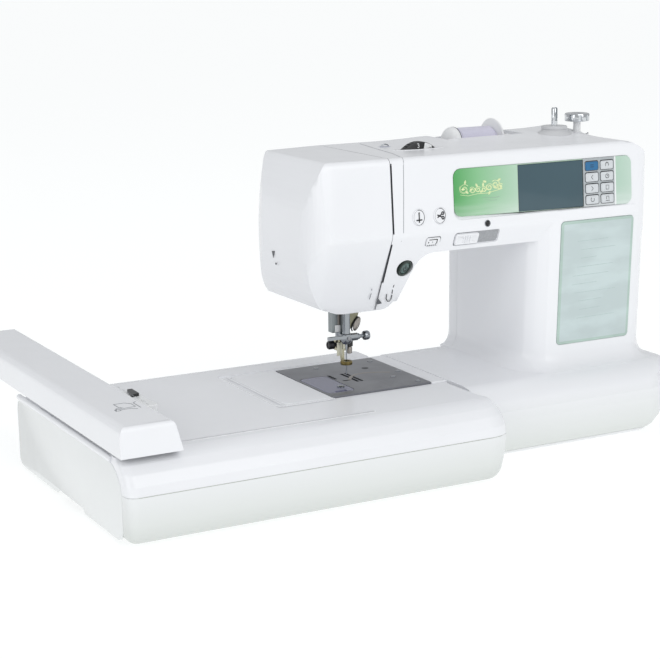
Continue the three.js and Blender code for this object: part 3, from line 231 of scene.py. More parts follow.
def shaded_towards_table(material, shade):
    # The same ABS with painted shade: its tone sinks to a soft green-grey towards the table.
    tree = material.node_tree
    material.name = "moulded_glossy_abs_case"
    place = put(tree, "ShaderNodeTexCoord").outputs["Object"]
    height = put(tree, "ShaderNodeSeparateXYZ", {"Vector": place}).outputs["Z"]
    span = put(tree, "ShaderNodeMapRange", {"Value": height, "From Max": 58 * MM})
    stops = [(0.0, linear("#CDD1CD")), (0.32, linear("#DDE0DE")), (1.0, tuple(shade))]
    colour_by(tree, span.outputs["Result"], stops)
    return material


def satin_abs(shade):
    # ABS from a spark-eroded tool: a fine even grain, drawn 0.9 mm coarse so that it shows.
    material, tree, bsdf = begin("moulded_satin_abs", IOR=1.53)
    breathe(tree, shade, 0.03, 50)
    uneven_gloss(tree, bsdf, 0.34, 0.46, 12)
    emboss(tree, bsdf, mottle(tree, 0.9, detail=4.0), 0.05, 0.35)
    return material


def black_abs(shade):
    # Black ABS with a light grain; its edges catch a grey sheen.
    material, tree, bsdf = begin("moulded_black_abs", IOR=1.53)
    breathe(tree, shade, 0.25, 8)
    uneven_gloss(tree, bsdf, 0.26, 0.4, 4)
    emboss(tree, bsdf, mottle(tree, 0.8, detail=4.0), 0.04, 0.4)
    return material


def clear_polycarbonate(name, shade, roughness, clarity):
    # Polycarbonate: clear, slightly tinted and lightly scuffed.
    material, tree, bsdf = begin(
        name, IOR=1.585, Transmission_Weight=clarity, Base_Color=shade
    )
    uneven_gloss(tree, bsdf, roughness, roughness + 0.1, 6)
    emboss(tree, bsdf, mottle(tree, 4), 0.02, 0.3)
    return material


def printed_panel(colours):
    # A polyester overlay printed on its back: a deep green that fades to the right, under gloss.
    material, tree, bsdf = begin(
        "printed_polyester_panel", Roughness=0.22, IOR=1.6, Coat_Weight=0.5, Coat_Roughness=0.08
    )
    low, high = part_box("panel_overlay")
    width = high.x - low.x
    place = put(tree, "ShaderNodeTexCoord").outputs["Object"]
    split = put(tree, "ShaderNodeSeparateXYZ", {"Vector": place})
    along = put(
        tree,
        "ShaderNodeMapRange",
        {"Value": split.outputs["X"], "From Min": low.x, "From Max": high.x},
    )
    display = (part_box("lcd_screen")[1].x - low.x) / width
    keys = (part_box("key_2")[1].x - low.x) / width
    key_bed, rule = linear("#A9AFB2"), linear("#EDF0F0")
    print_x = put(
        tree,
        "ShaderNodeValToRGB",
        {"Fac": along.outputs["Result"]},
        stops=[
            (0.0, tuple(colours.panel_dark)),
            (0.13, tuple(colours.panel_mid)),
            (0.34, tuple(colours.panel_pale)),
            (display, tuple(colours.panel_pale)),
            (display + 0.001, key_bed),
            (keys + 0.004, key_bed),
            (keys + 0.005, rule),
            (keys + 0.013, rule),
            (keys + 0.014, tuple(colours.strip)),
            (1.0, linear("#BFD6C8")),
        ],
    )
    up = put(
        tree,
        "ShaderNodeMapRange",
        {
            "Value": split.outputs["Z"],
            "From Min": low.z,
            "From Max": low.z + 0.02,
            "To Min": 0.62,
            "To Max": 0.0,
        },
        interpolation_type="SMOOTHSTEP",
    )
    streaks = put(
        tree,
        "ShaderNodeMath",
        {0: up.outputs["Result"], 1: mottle(tree, 6, (0.16, 1, 1.6))},
        operation="MULTIPLY",
    )
    washed = put(
        tree,
        "ShaderNodeMixRGB",
        {"Fac": streaks.outputs["Value"], "Color1": print_x.outputs["Color"], "Color2": rule},
    )
    tree.links.new(washed.outputs["Color"], bsdf.inputs["Base Color"])
    emboss(tree, bsdf, mottle(tree, 2), 0.01, 0.3)
    return material


def card_sheet(name, shade):
    # A printed sheet behind clear plastic: pale, with soft paler rows, under a smooth gloss.
    material, tree, bsdf = begin(
        name, Roughness=0.3, IOR=1.5, Coat_Weight=0.6, Coat_Roughness=0.12
    )
    pale = tuple(min(1.0, c * 1.12) for c in shade[:3]) + (1.0,)
    colour_by(tree, mottle(tree, 24, (0.5, 1, 1.4), 4.0), [(0.42, tuple(shade)), (0.62, pale)])
    emboss(tree, bsdf, mottle(tree, 14), 0.1, 0.3)
    return material


def display_glass(shade):
    # Unlit liquid-crystal glass: slate, smooth, with a barely deeper middle.
    material, tree, bsdf = begin("unlit_display_glass", IOR=1.45)
    breathe(tree, shade, 0.07, 45)
    uneven_gloss(tree, bsdf, 0.1, 0.16, 30)
    return material


def silicone(name, shade):
    # Moulded silicone rubber: soft, with a dry bloom.
    material, tree, bsdf = begin(name, IOR=1.43, Sheen_Weight=0.15)
    breathe(tree, shade, 0.06, 3)
    uneven_gloss(tree, bsdf, 0.45, 0.6, 3)
    emboss(tree, bsdf, mottle(tree, 0.7, detail=3.0), 0.02, 0.3)
    return material


def ground_steel(name, code, along=(0.03, 1, 1), roughness=0.3):
    # Ground steel plate: straight fine scratches, drawn 0.35 mm apart so that they show.
    material, tree, bsdf = begin(name, Metallic=1.0, Anisotropic=0.4)
    breathe(tree, linear(code), 0.16, 18)
    uneven_gloss(tree, bsdf, roughness, roughness + 0.14, 0.7, along)
    emboss(tree, bsdf, mottle(tree, 0.35, along, 3.0), 0.01, 0.5)
    return material


def bright_plate(name, code, roughness=0.07):
    # Chrome or nickel plating over a polished part: mirror-like, with faint handling haze.
    material, tree, bsdf = begin(name, Metallic=1.0)
    breathe(tree, linear(code), 0.08, 5)
    uneven_gloss(tree, bsdf, roughness, roughness + 0.1, 5)
    emboss(tree, bsdf, mottle(tree, 1.4), 0.006, 0.4)
    return material


def cast_alloy():
    # Sand-toned die-cast aluminium: dull, with a pitted skin.
    material, tree, bsdf = begin("die_cast_aluminium", Metallic=1.0)
    breathe(tree, linear("#A9ABAD"), 0.2, 6)
    uneven_gloss(tree, bsdf, 0.5, 0.68, 2)
    emboss(tree, bsdf, mottle(tree, 1.2, detail=5.0), 0.12, 0.6)
    return material


def belt_rubber():
    # Moulded chloroprene belt: matt black with a woven backing's ribs.
    material, tree, bsdf = begin("moulded_belt_rubber", Roughness=0.8, IOR=1.52)
    breathe(tree, linear("#26272A"), 0.2, 2)
    emboss(tree, bsdf, mottle(tree, 0.9), 0.1, 0.6)
    return material


def wound_thread(shade):
    # Polyester thread wound on a cone: a silky cross-wound sheen, its turns 0.9 mm apart.
    material, tree, bsdf = begin(
        "wound_polyester_thread", Roughness=0.5, Sheen_Weight=0.4, Anisotropic=0.3
    )
    place = put(tree, "ShaderNodeTexCoord").outputs["Object"]
    turns = put(
        tree,
        "ShaderNodeTexWave",
        {"Vector": place, "Scale": 1 / (0.9 * MM) / 6.3, "Distortion": 0.6, "Detail": 2.0},
        bands_direction="X",
    ).outputs["Fac"]
    dark = tuple(c * 0.86 for c in shade[:3]) + (1.0,)
    colour_by(tree, turns, [(0.1, dark), (0.6, tuple(shade))])
    emboss(tree, bsdf, turns, 0.25, 0.7)
    return material


def screen_ink(name, shade):
    # Pad-printed ink: thin and satin, a little uneven.
    material, tree, bsdf = begin(name, IOR=1.5)
    breathe(tree, shade, 0.2, 1.5)
    uneven_gloss(tree, bsdf, 0.35, 0.5, 2)
    return material


FINISHES = {}


def make_finishes(colours):
    """Every finish by a short name, made once."""
    FINISHES.update(
        shell=glossy_abs(colours.shell),
        lower=satin_abs(colours.lower),
        black=black_abs(colours.black),
        panel=printed_panel(colours),
        card=card_sheet("laminated_card", colours.card),
        card_edge=card_sheet("laminated_card_edge", colours.card_edge),
        display=display_glass(colours.display),
        # A whiter ink for the ledge lips: a painted highlight along them.
        lip=screen_ink("moulded_lip", linear("#F7F8FA")),
        wall=glossy_abs(linear("#E9EBEB")),
        case=shaded_towards_table(glossy_abs(colours.shell), colours.shell),
        seat_grey=satin_abs(linear("#CBCCCE")),
        ring=screen_ink("start_button_ring", linear("#39443F")),
        key=silicone("grey_silicone_key", colours.key),
        key_main=silicone("blue_silicone_key", colours.key_main),
        clear=clear_polycarbonate("smoked_polycarbonate", linear("#8A8BA2"), 0.16, 0.3),
        milky=clear_polycarbonate("milky_polycarbonate", linear("#F6F7F8"), 0.3, 0.12),
        lens=clear_polycarbonate("start_button_lens", linear("#5C7470"), 0.15, 0.15),
        plate=ground_steel("ground_steel_plate", "#97989D"),
        shaft=ground_steel("ground_steel_shaft", "#9A9B9E", (1, 1, 1), 0.24),
        chrome=bright_plate("chrome_plate", "#9FA3A7", 0.12),
        nickel=bright_plate("warm_nickel_plate", "#B5B199", 0.2),
        brass=bright_plate("polished_brass", "#8F8052", 0.24),
        alloy=cast_alloy(),
        rubber=belt_rubber(),
        thread=wound_thread(colours.thread),
        ink=screen_ink("dark_ink", colours.ink),
        # Grey ink for printed marks, also used as painted shade for a seam line and a groove.
        grey_ink=screen_ink("grey_ink", linear("#8F9297")),
        pale_ink=screen_ink("pale_ink", linear("#E4EFB8")),
        white_ink=screen_ink("white_ink", linear("#F4F5F5")),
        card_print=screen_ink("card_print", linear("#B3C7C5")),
        guide_tint=screen_ink("guide_plate_tint", linear("#B9BCCB")),
        unit_seam=screen_ink("unit_seam_tint", linear("#BDC2BA")),
        foot_plate=bright_plate("pale_nickel_foot", "#CFCDBB", 0.34),
        # A lighter copy of the chrome plate for the winder on the machine's top: painted light.
        bright=bright_plate("bright_chrome_plate", "#D3D6D9", 0.06),
        guard=bright_plate("brushed_guard_plate", "#8E9496", 0.3),
        bracket=bright_plate("aged_nickel_bracket", "#8B8975", 0.32),
        # The nickel of the threader's lobes, also used for painted highlights on the plate and the
        # guard.
        lever=bright_plate("aged_nickel_lever", "#A39D97", 0.3),
        shadow=screen_ink("seam_shadow", linear("#5B5D62")),
        soft_shadow=screen_ink("soft_seam_shadow", linear("#A7A9AD")),
    )


# ---------------------------------------------------------------- modelling


def only(obj):
    """Makes obj the one selected and active object."""
    bpy.ops.object.select_all(action="DESELECT")
    obj.select_set(True)
    bpy.context.view_layer.objects.active = obj


def edit(obj, kind="VERT"):
    only(obj)
    bpy.ops.object.mode_set(mode="EDIT")
    bpy.ops.mesh.select_mode(type=kind)


def leave():
    bpy.ops.object.mode_set(mode="OBJECT")


def choose(obj, kind, test):
    """Selects the edges or faces of an object in edit mode that pass a test."""
    shape = bmesh.from_edit_mesh(obj.data)
    for part in (*shape.faces, *shape.edges, *shape.verts):
        part.select_set(False)
    for part in getattr(shape, kind):
        if test(part):
            part.select_set(True)
    bmesh.update_edit_mesh(obj.data)


def tidy_up(obj):
    """Merges doubles and turns the faces out."""
    edit(obj)
    bpy.ops.mesh.select_all(action="SELECT")
    bpy.ops.mesh.remove_doubles(threshold=2e-6)
    bpy.ops.mesh.normals_make_consistent(inside=False)
    leave()
    return obj


def modify(obj, kind, **settings):
    """Adds a modifier and applies it."""
    only(obj)
    modifier = obj.modifiers.new(kind.title(), kind)
    for key, value in settings.items():
        setattr(modifier, key, value)
    bpy.ops.object.modifier_apply(modifier=modifier.name)


def slab(width, depth, thick, corner=0.0, rim=0.0, steps=5):
    """A slab on the origin: millimetres, upright edges rounded, top rim eased."""
    bpy.ops.mesh.primitive_cube_add(
        size=1,
        location=(0, 0, thick * MM / 2),
        scale=(width * MM, depth * MM, thick * MM),
    )
    obj = bpy.context.object
    bpy.ops.object.transform_apply(location=True, rotation=False, scale=True)
    top = thick * MM - 1e-7
    edit(obj, "EDGE")
    if corner:
        choose(obj, "edges", lambda e: abs(e.verts[0].co.z - e.verts[1].co.z) > top / 2)
        bpy.ops.mesh.bevel(offset=corner * MM, segments=steps, affect="EDGES")
    if rim:
        choose(obj, "edges", lambda e: all(v.co.z > top for v in e.verts))
        bpy.ops.mesh.bevel(offset=rim * MM, segments=3, affect="EDGES")
    leave()
    return obj


def inset_top(obj, *steps):
    """Insets the top face step by step: millimetres inwards, then up."""
    edit(obj, "FACE")
    choose(obj, "faces", lambda f: f.normal.z > 0.99)
    for inwards, up in steps:
        bpy.ops.mesh.inset(thickness=inwards * MM, depth=up * MM)
    leave()


def round_place(face, sides):
    """Where a face is on a turned piece: which of its sides, and how far out."""
    centre = face.calc_center_median()
    return round(math.atan2(centre.y, centre.x) / math.tau * sides - 0.5), centre.xy.length


def turned(profile, sides=48, hollow=False):
    """A piece turned about Z from steps of radius (or radius along X, along Y) and height."""
    steps = [(s[0], s[0], s[1]) if len(s) == 2 else s for s in profile]
    rx, ry, height = steps[0]
    bpy.ops.mesh.primitive_circle_add(
        vertices=sides, radius=MM, fill_type="NOTHING" if hollow else "NGON"
    )
    obj = bpy.context.object
    edit(obj)
    bpy.ops.mesh.select_all(action="SELECT")
    bpy.ops.transform.resize(value=(rx, ry, 1), center_override=(0, 0, 0))
    bpy.ops.transform.translate(value=(0, 0, height * MM))
    for next_x, next_y, next_height in steps[1:]:
        rise = (0, 0, (next_height - height) * MM)
        bpy.ops.mesh.extrude_region_move(TRANSFORM_OT_translate={"value": rise})
        growth = (next_x / rx, next_y / ry, 1)
        bpy.ops.transform.resize(value=growth, center_override=(0, 0, next_height * MM))
        rx, ry, height = next_x, next_y, next_height
    leave()
    return tidy_up(obj)


def chain(points):
    """A mesh of one line of edges through points in millimetres."""
    bpy.ops.mesh.primitive_plane_add(size=MM)
    obj = bpy.context.object
    edit(obj)
    bpy.ops.mesh.select_all(action="SELECT")
    bpy.ops.mesh.merge(type="CENTER")
    spots = [Vector(p) * MM for p in points]
    bpy.ops.transform.translate(value=spots[0])
    for here, there in zip(spots, spots[1:]):
        bpy.ops.mesh.extrude_region_move(TRANSFORM_OT_translate={"value": there - here})
    return obj


def bead(points, radius, rounds=2):
    """A round bead of this radius, in metres, through points in millimetres."""
    obj = chain(points)
    leave()
    only(obj)
    bpy.ops.object.convert(target="CURVE")
    curve = bpy.context.object
    curve.data.dimensions = "3D"
    curve.data.bevel_depth = radius
    curve.data.bevel_resolution = rounds
    curve.data.use_fill_caps = True
    bpy.ops.object.convert(target="MESH")
    return tidy_up(bpy.context.object)


def flat_bead(path, radius, share, rounds):
    """A bead of this radius in millimetres along a flat path, pressed to a share of its height."""
    obj = bead([(x, y, 0) for x, y in path], radius * MM, rounds)
    obj.data.transform(Matrix.Scale(share, 4, Vector((0, 0, 1))))
    return obj


def wire(points, radius, rounds=2):
    """A bead through points given in millimetres from the needle."""
    return settle(bead(points, radius, rounds), facing("z", 0, 0, 0))


def cutout(points, thick):
    """A flat piece with this outline, thick millimetres."""
    obj = chain([(x, y, 0) for x, y in points])
    bpy.ops.mesh.select_all(action="SELECT")
    bpy.ops.mesh.edge_face_add()
    rise = (0, 0, thick * MM)
    bpy.ops.mesh.extrude_region_move(TRANSFORM_OT_translate={"value": rise})
    leave()
    return tidy_up(obj)


def settle(obj, place):
    """Moves a piece drawn about the origin to its place and leaves its object at the origin."""
    only(obj)
    obj.matrix_world = place
    bpy.ops.object.transform_apply(location=True, rotation=True, scale=True)
    return obj


def joined(pieces):
    """Several meshes as one object."""
    bpy.ops.object.select_all(action="DESELECT")
    for piece in pieces:
        piece.select_set(True)
    bpy.context.view_layer.objects.active = pieces[0]
    bpy.ops.object.join()
    return pieces[0]


def dress(obj, *finishes):
    obj.data.materials.clear()
    for finish in finishes:
        obj.data.materials.append(FINISHES[finish])


def paint(obj, index, test):
    """Gives the faces that pass a test another of the piece's finishes."""
    for face in obj.data.polygons:
        if test(face):
            face.material_index = index


def done(obj, name, finish, body, slot, *nodes, smooth=35):
    """Names a finished piece, gives it its finish, and lets it ride on its body."""
    only(obj)
    bpy.ops.object.shade_smooth_by_angle(angle=math.radians(smooth))
    obj.name = name
    obj.data.name = name
    if isinstance(finish, str):
        dress(obj, finish)
    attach(obj, body)
    if nodes:
        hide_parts(*nodes)
    return obj


def skin(node, ease=0.0, smooth=34, reshape=None):
    """A merged copy of a frame node, its hard edges eased and its flats kept flat."""
    only(NODES[node])
    bpy.ops.object.duplicate()
    obj = bpy.context.object
    obj.parent = None
    for key in list(obj.keys()):
        del obj[key]
    if obj.data.has_custom_normals:
        bpy.ops.mesh.customdata_custom_splitnormals_clear()
    edit(obj)
    bpy.ops.mesh.select_all(action="SELECT")
    bpy.ops.mesh.remove_doubles(threshold=2e-6)
    bpy.ops.mesh.dissolve_limited(angle_limit=math.radians(0.5))
    leave()
    if reshape:
        reshape(obj)
    if ease:
        modify(
            obj,
            "BEVEL",
            width=ease,
            segments=2,
            limit_method="ANGLE",
            angle_limit=math.radians(40),
            use_clamp_overlap=True,
        )
    bpy.ops.object.shade_smooth_by_angle(angle=math.radians(smooth))
    modify(obj, "WEIGHTED_NORMAL", keep_sharp=True, weight=60)
    return obj


def score(obj, axis, cuts):
    """Cuts an object's faces along planes across an axis, and leaves it whole."""
    normal = [0, 0, 0]
    normal[axis] = 1
    edit(obj)
    for cut in cuts:
        bpy.ops.mesh.select_all(action="SELECT")
        plane = at(*[cut if k == axis else 0 for k in range(3)])
        bpy.ops.mesh.bisect(plane_co=plane, plane_no=normal)
    leave()


def flow(obj, axis, cuts, level_of, test, move):
    """Scores an object at these places along an axis, then moves its corners level by level."""
    score(obj, axis, cuts)
    edit(obj)
    corners = [v for v in bmesh.from_edit_mesh(obj.data).verts if test(spot(v))]
    groups = {}
    for corner in corners:
        groups.setdefault(level_of(spot(corner)), set()).add(corner.index)
    for level, members in groups.items():
        choose(obj, "verts", lambda v: v.index in members)
        move(level)
    leave()


def spot(vertex):
    """A vertex's place in millimetres from the needle."""
    return Vector(((vertex.co.x - NEEDLE.x) / MM, (vertex.co.y - NEEDLE.y) / MM, vertex.co.z / MM))


def ease_in(value):
    """Nought below nought, one above one, and a smooth rise between."""
    t = min(1.0, max(0.0, value))
    return t * t * (3 - 2 * t)


def reskin(node, finish, body, slot, ease=0.0, smooth=34, reshape=None):
    """Stands a smoothed copy in for a frame node."""
    obj = skin(node, ease, smooth, reshape)
    obj.name = node + "_skin"
    obj.data.name = obj.name
    dress(obj, finish)
    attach(obj, body)
    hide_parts(node)
    return obj


# ---------------------------------------------------------------- places on the machine

# The leaning front faces meet at the crease; each leans by its own angle.
CREASE = (-60.0, 206.0)
LEAN = {
    "upper": math.atan2(4.8, 61),
    "lower": math.atan2(-33, 74),
    "column": math.atan2(-5, 122.4),
}


def reskin_all(*rows):
    """Stands smoothed copies in for frame nodes, each with its finish, body and slot."""
    for row in rows:
        reskin(*row)


def on_face(face, x, z, proud=0.0):
    """The frame of a spot on a front face: right, up the face and out of it."""
    lean = LEAN[face]
    right = Vector((1, 0, 0))
    up = Vector((0, math.sin(lean), math.cos(lean)))
    out = Vector((0, -math.cos(lean), math.sin(lean)))
    place = Matrix((right, up, out)).transposed().to_4x4()
    rise = (z - CREASE[1]) / math.cos(lean)
    place.translation = at(x, *CREASE) + (up * rise + out * proud) * MM
    return place


def middle(node):
    """The middle of a node's box across the front and up it, in millimetres."""
    low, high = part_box(node)
    return ((low.x + high.x) / 2 - NEEDLE.x) / MM, (low.z + high.z) / 2 / MM


def facing(axis, x, y, z):
    """The frame of a piece turned about Z, laid along another axis at a place."""
    turns = {
        "z": Matrix.Identity(4),
        "x": Matrix.Rotation(math.pi / 2, 4, "Y"),
        "-x": Matrix.Rotation(-math.pi / 2, 4, "Y"),
        "y": Matrix.Rotation(-math.pi / 2, 4, "X"),
        "-y": Matrix.Rotation(math.pi / 2, 4, "X"),
    }
    return Matrix.Translation(at(x, y, z)) @ turns[axis]


def arc(x, y, radius, start, end, steps=12):
    """Points on an arc, angles in degrees."""
    angles = [math.radians(start + (end - start) * k / steps) for k in range(steps + 1)]
    return [(x + radius * math.cos(a), y + radius * math.sin(a)) for a in angles]


def symbol(strokes, place, name, body, slot, finish="ink", radius=None):
    """Printed strokes, and strokes of painted shade, each a list of flat points, sunk so that only their
    crowns show.
    """
    radius = radius or bpy.context.scene.machine_sizes.line
    beads = [bead([(x, y, 0) for x, y in stroke], radius, 1) for stroke in strokes]
    obj = joined(beads) if len(beads) > 1 else beads[0]
    obj.data.transform(Matrix.Scale(0.45, 4, Vector((0, 0, 1))))
    settle(obj, place)
    return done(obj, name, finish, body, slot)


# ---------------------------------------------------------------- pieces


def section_point(z, depth=0.0):
    """A point of the head's front outline, depth under its surface: (y, z)."""
    lean = LEAN["upper" if z > CREASE[1] else "lower"]
    y = CREASE[0] + (z - CREASE[1]) * math.tan(lean)
    return y + depth * math.cos(lean), z - depth * math.sin(lean)


# The rounded edge between the head's front and its top: (y, z).
BROW = [(-54.7, 269.2), (-53.5, 270.7), (-51.7, 271.7)]


class BuildHousing(bpy.types.Operator):
    """Builds the outer mouldings of the machine and the seams between them"""

    bl_idname = "machine.housing"
    bl_label = "Housing"

    def execute(self, context):
        sizes = context.scene.machine_sizes
        reskin("front_housing", "case", "machine", "white", reshape=self.soften_front)
        reskin("rear_housing", "case", "machine", "white", reshape=self.soften_rear)
        reskin("face_cover", "shell", "machine", "white", smooth=40, reshape=self.round_off)
        reskin("base_tray", "lower", "machine", "case_grey", reshape=self.shorten)
        reskin("free_arm_cover", "shell", "machine", "white")
        self.seams(sizes)
        self.thread_slot()
        self.marks()
        self.lamp()
        return {"FINISHED"}

    def lift_chin(self, shell):
        """Lifts the underside of the head to the mouth of the needle's opening."""
        low, high = at(-70, -70, 131), at(84, 90, 139.5)
        edit(shell)
        choose(shell, "verts", lambda v: all(low[i] < v.co[i] < high[i] for i in range(3)))
        bpy.ops.transform.translate(value=(0, 0, 4.3 * MM))
        leave()

    def soften_rear(self, shell):
        self.lift_chin(shell)
        self.crown(shell)

    def soften_front(self, shell):
        self.soften_rear(shell)

        def bulge(level):
            drop = (level - 38) / (24 if level > 38 else 37)
            scale = 0.75 - 0.12 * drop * drop if drop > 0 else 0.75 * max(0.1, 1 - drop * drop) ** 0.65
            bpy.ops.transform.resize(value=(scale, 1, 1), center_override=at(262, 0, 0))

        score(shell, 0, (262, 275))
        cuts = (6, 12, 20, 30, 40, 48, 54, 58)
        flow(shell, 2, cuts, lambda p: round(p.z, 1), lambda p: p.x > 262.5 and p.z < 61.5, bulge)

    def shorten(self, tray):
        low = at(262, 0, 0).x
        edit(tray)
        choose(tray, "verts", lambda v: v.co.x > low)
        bpy.ops.transform.resize(value=(0.3, 1, 1), center_override=(low, 0, 0))
        leave()

    def crown(self, shell):
        """Raises the top a little towards its back and lets its far end fall away."""

        def rise(p):
            lift = 2.6 * ease_in((p.x - 70) / 90) * ease_in((p.y + 10) / 60)
            lift += 2.4 * ease_in((p.x - 235) / 45) * ease_in(p.y / 60)
            return round(4 * (lift - 3 * ease_in((p.x - 262) / 35) * ease_in((50 - p.y) / 70))) / 4

        def raise_by(level):
            bpy.ops.transform.translate(value=(0, 0, level * MM))

        score(shell, 1, (-10, 5, 20, 35, 50, 70))
        flow(shell, 0, range(60, 300, 15), rise, lambda p: p.z > 262 and rise(p) != 0, raise_by)

    def round_off(self, shell):
        """Rounds the free end of the head, section by section."""
        self.lift_chin(shell)

        def shrink(level):
            turn = min(1.0, max(0.0, (-40 - level) / 22))
            scale = 1 - 0.2 * (1 - math.sqrt(max(0.0, 1 - turn * turn)))
            bpy.ops.transform.resize(value=(1, scale, scale), center_override=at(level, 11, 206))

        def belly(level):
            away = ((level - 200) / 70) ** 2
            scale = (1 - 0.1 * away, 1 - 0.09 * away, 1)
            bpy.ops.transform.resize(value=scale, center_override=at(-20, -20, level))

        flow(shell, 2, range(145, 270, 10), lambda p: round(p.z, 1), lambda p: p.x < -20.5, belly)
        cuts = (-40, -44, -47, -50, -52.5, -54.5, -56.5, -58.5, -60, -61.2)
        flow(shell, 0, cuts, lambda p: round(p.x, 1), lambda p: p.x < -36, shrink)

    def seams(self, sizes):
        # The seam lines are painted shade in the gaps between the mouldings.
        front = [section_point(z, depth=0.25) for z in (137.5, 160, 203, 209, 240, 264)]
        brow = [(y + 0.2, z - 0.2) for y, z in BROW]
        straight = [(13.0, y, z) for y, z in front + brow]
        straight += [(13.0, y, 271.75) for y in (-40, 0, 40, 61)]
        obj = wire(straight, sizes.seam)
        done(obj, "face_cover_seam", "shadow", "machine", "white")
        low = [(22.4, *section_point(201, depth=0.1)), (23.6, *section_point(209, depth=0.1))]
        low += [(25.4, *section_point(244, depth=0.1)), (26.2, *section_point(265, depth=0.1))]
        over = [(26.5 + k * 0.4, y + 0.1, z - 0.1) for k, (y, z) in enumerate(BROW)]
        top = [(28.5, -45), (31, -37), (34.6, -25), (37.6, -9), (40, 7), (44.6, 32), (50, 61)]
        curved = low + over + [(x, y, 271.9) for x, y in top]
        obj = wire(curved, sizes.seam * 0.9)
        done(obj, "arm_trim_line", "grey_ink", "machine", "white")
        rear = [(x, 62.15, 271.7) for x in (14, 60, 120)]
        obj = wire(rear, sizes.seam * 0.8)
        done(obj, "top_seam_left", "soft_shadow", "machine", "white")

    def thread_slot(self):
        """Dark sheets of painted shade on the thread slot's cheeks, clear of the lever that swings in
        it.
        """
        cheeks = []
        for face, low, high in (("upper", 208.4, 266.0), ("lower", 163.4, 198.6)):
            length = (high - low) / math.cos(LEAN[face])
            for x in (12.9, 14.55):
                cheek = slab(0.22, length, 4.4, rim=0.05)
                cheeks.append(settle(cheek, on_face(face, x, (low + high) / 2, -4.5)))
        done(joined(cheeks), "thread_slot_cheeks", "shadow", "machine", "white")

    def marks(self):
        flat = on_face("lower", 0, 150, 0.02)
        rise = 1 / math.cos(LEAN["lower"])

        def stroke(*points):
            return [(x, (z - 150) * rise) for x, z in points]

        guide = [stroke((26.2, 160), (25.9, 157.4)), stroke((25.8, 155.4), (26.3, 151.6))]
        guide.append(
            stroke((26.5, 150.2), (26.8, 146.7), (25.7, 144.1), (23.4, 144.4), (21.6, 147), (21, 151.5))
        )
        symbol(guide, flat, "thread_path_mark", "machine", "white", "ink")
        left = [stroke((4.2, 158.6), (4.5, 156.9)), stroke((4.7, 154), (4.3, 148.6))]
        symbol(left, flat, "thread_start_mark", "machine", "white", "grey_ink")
        corner = [(12.6, -1.2), (12.6, -8.2), (18.2, -7.6)]
        obj = settle(cutout(corner, 0.18), on_face("lower", 0, 150, -0.06))
        done(obj, "thread_slot_mouth", "shadow", "machine", "white")
        blade = [(1.0, 2.9), (1.8, -2.2), (-4.7, 0.4)]
        obj = settle(cutout(blade, 0.3), facing("-x", -61.7, 18, 188))
        done(obj, "face_cover_notch", "shadow", "machine", "white")
        dot = turned([(1.1, 0), (1.1, 0.3), (0.8, 0.5)], 24)
        obj = settle(dot, facing("-x", -61.1, 14.6, 178.7))
        done(obj, "face_cover_dot", "shadow", "machine", "white")

    def lamp(self):
        place = on_face("upper", 109.5, 209.6)
        band = [(3.0, -0.4), (3.0, 0.5), (2.6, 0.8), (2.2, 0.5), (2.2, -0.4), (3.0, -0.4)]
        rim = settle(turned(band, 36, True), place)
        done(rim, "lamp_ring", "chrome", "machine", "chrome")
        dome = [(2.2 * math.cos(a), 2.0 * math.sin(a)) for a in [k * 0.25 for k in range(7)]]
        lens = settle(turned([(2.2, -0.4), *dome], 36), place)
        done(lens, "lamp_lens", "black", "machine", "black_moulding")


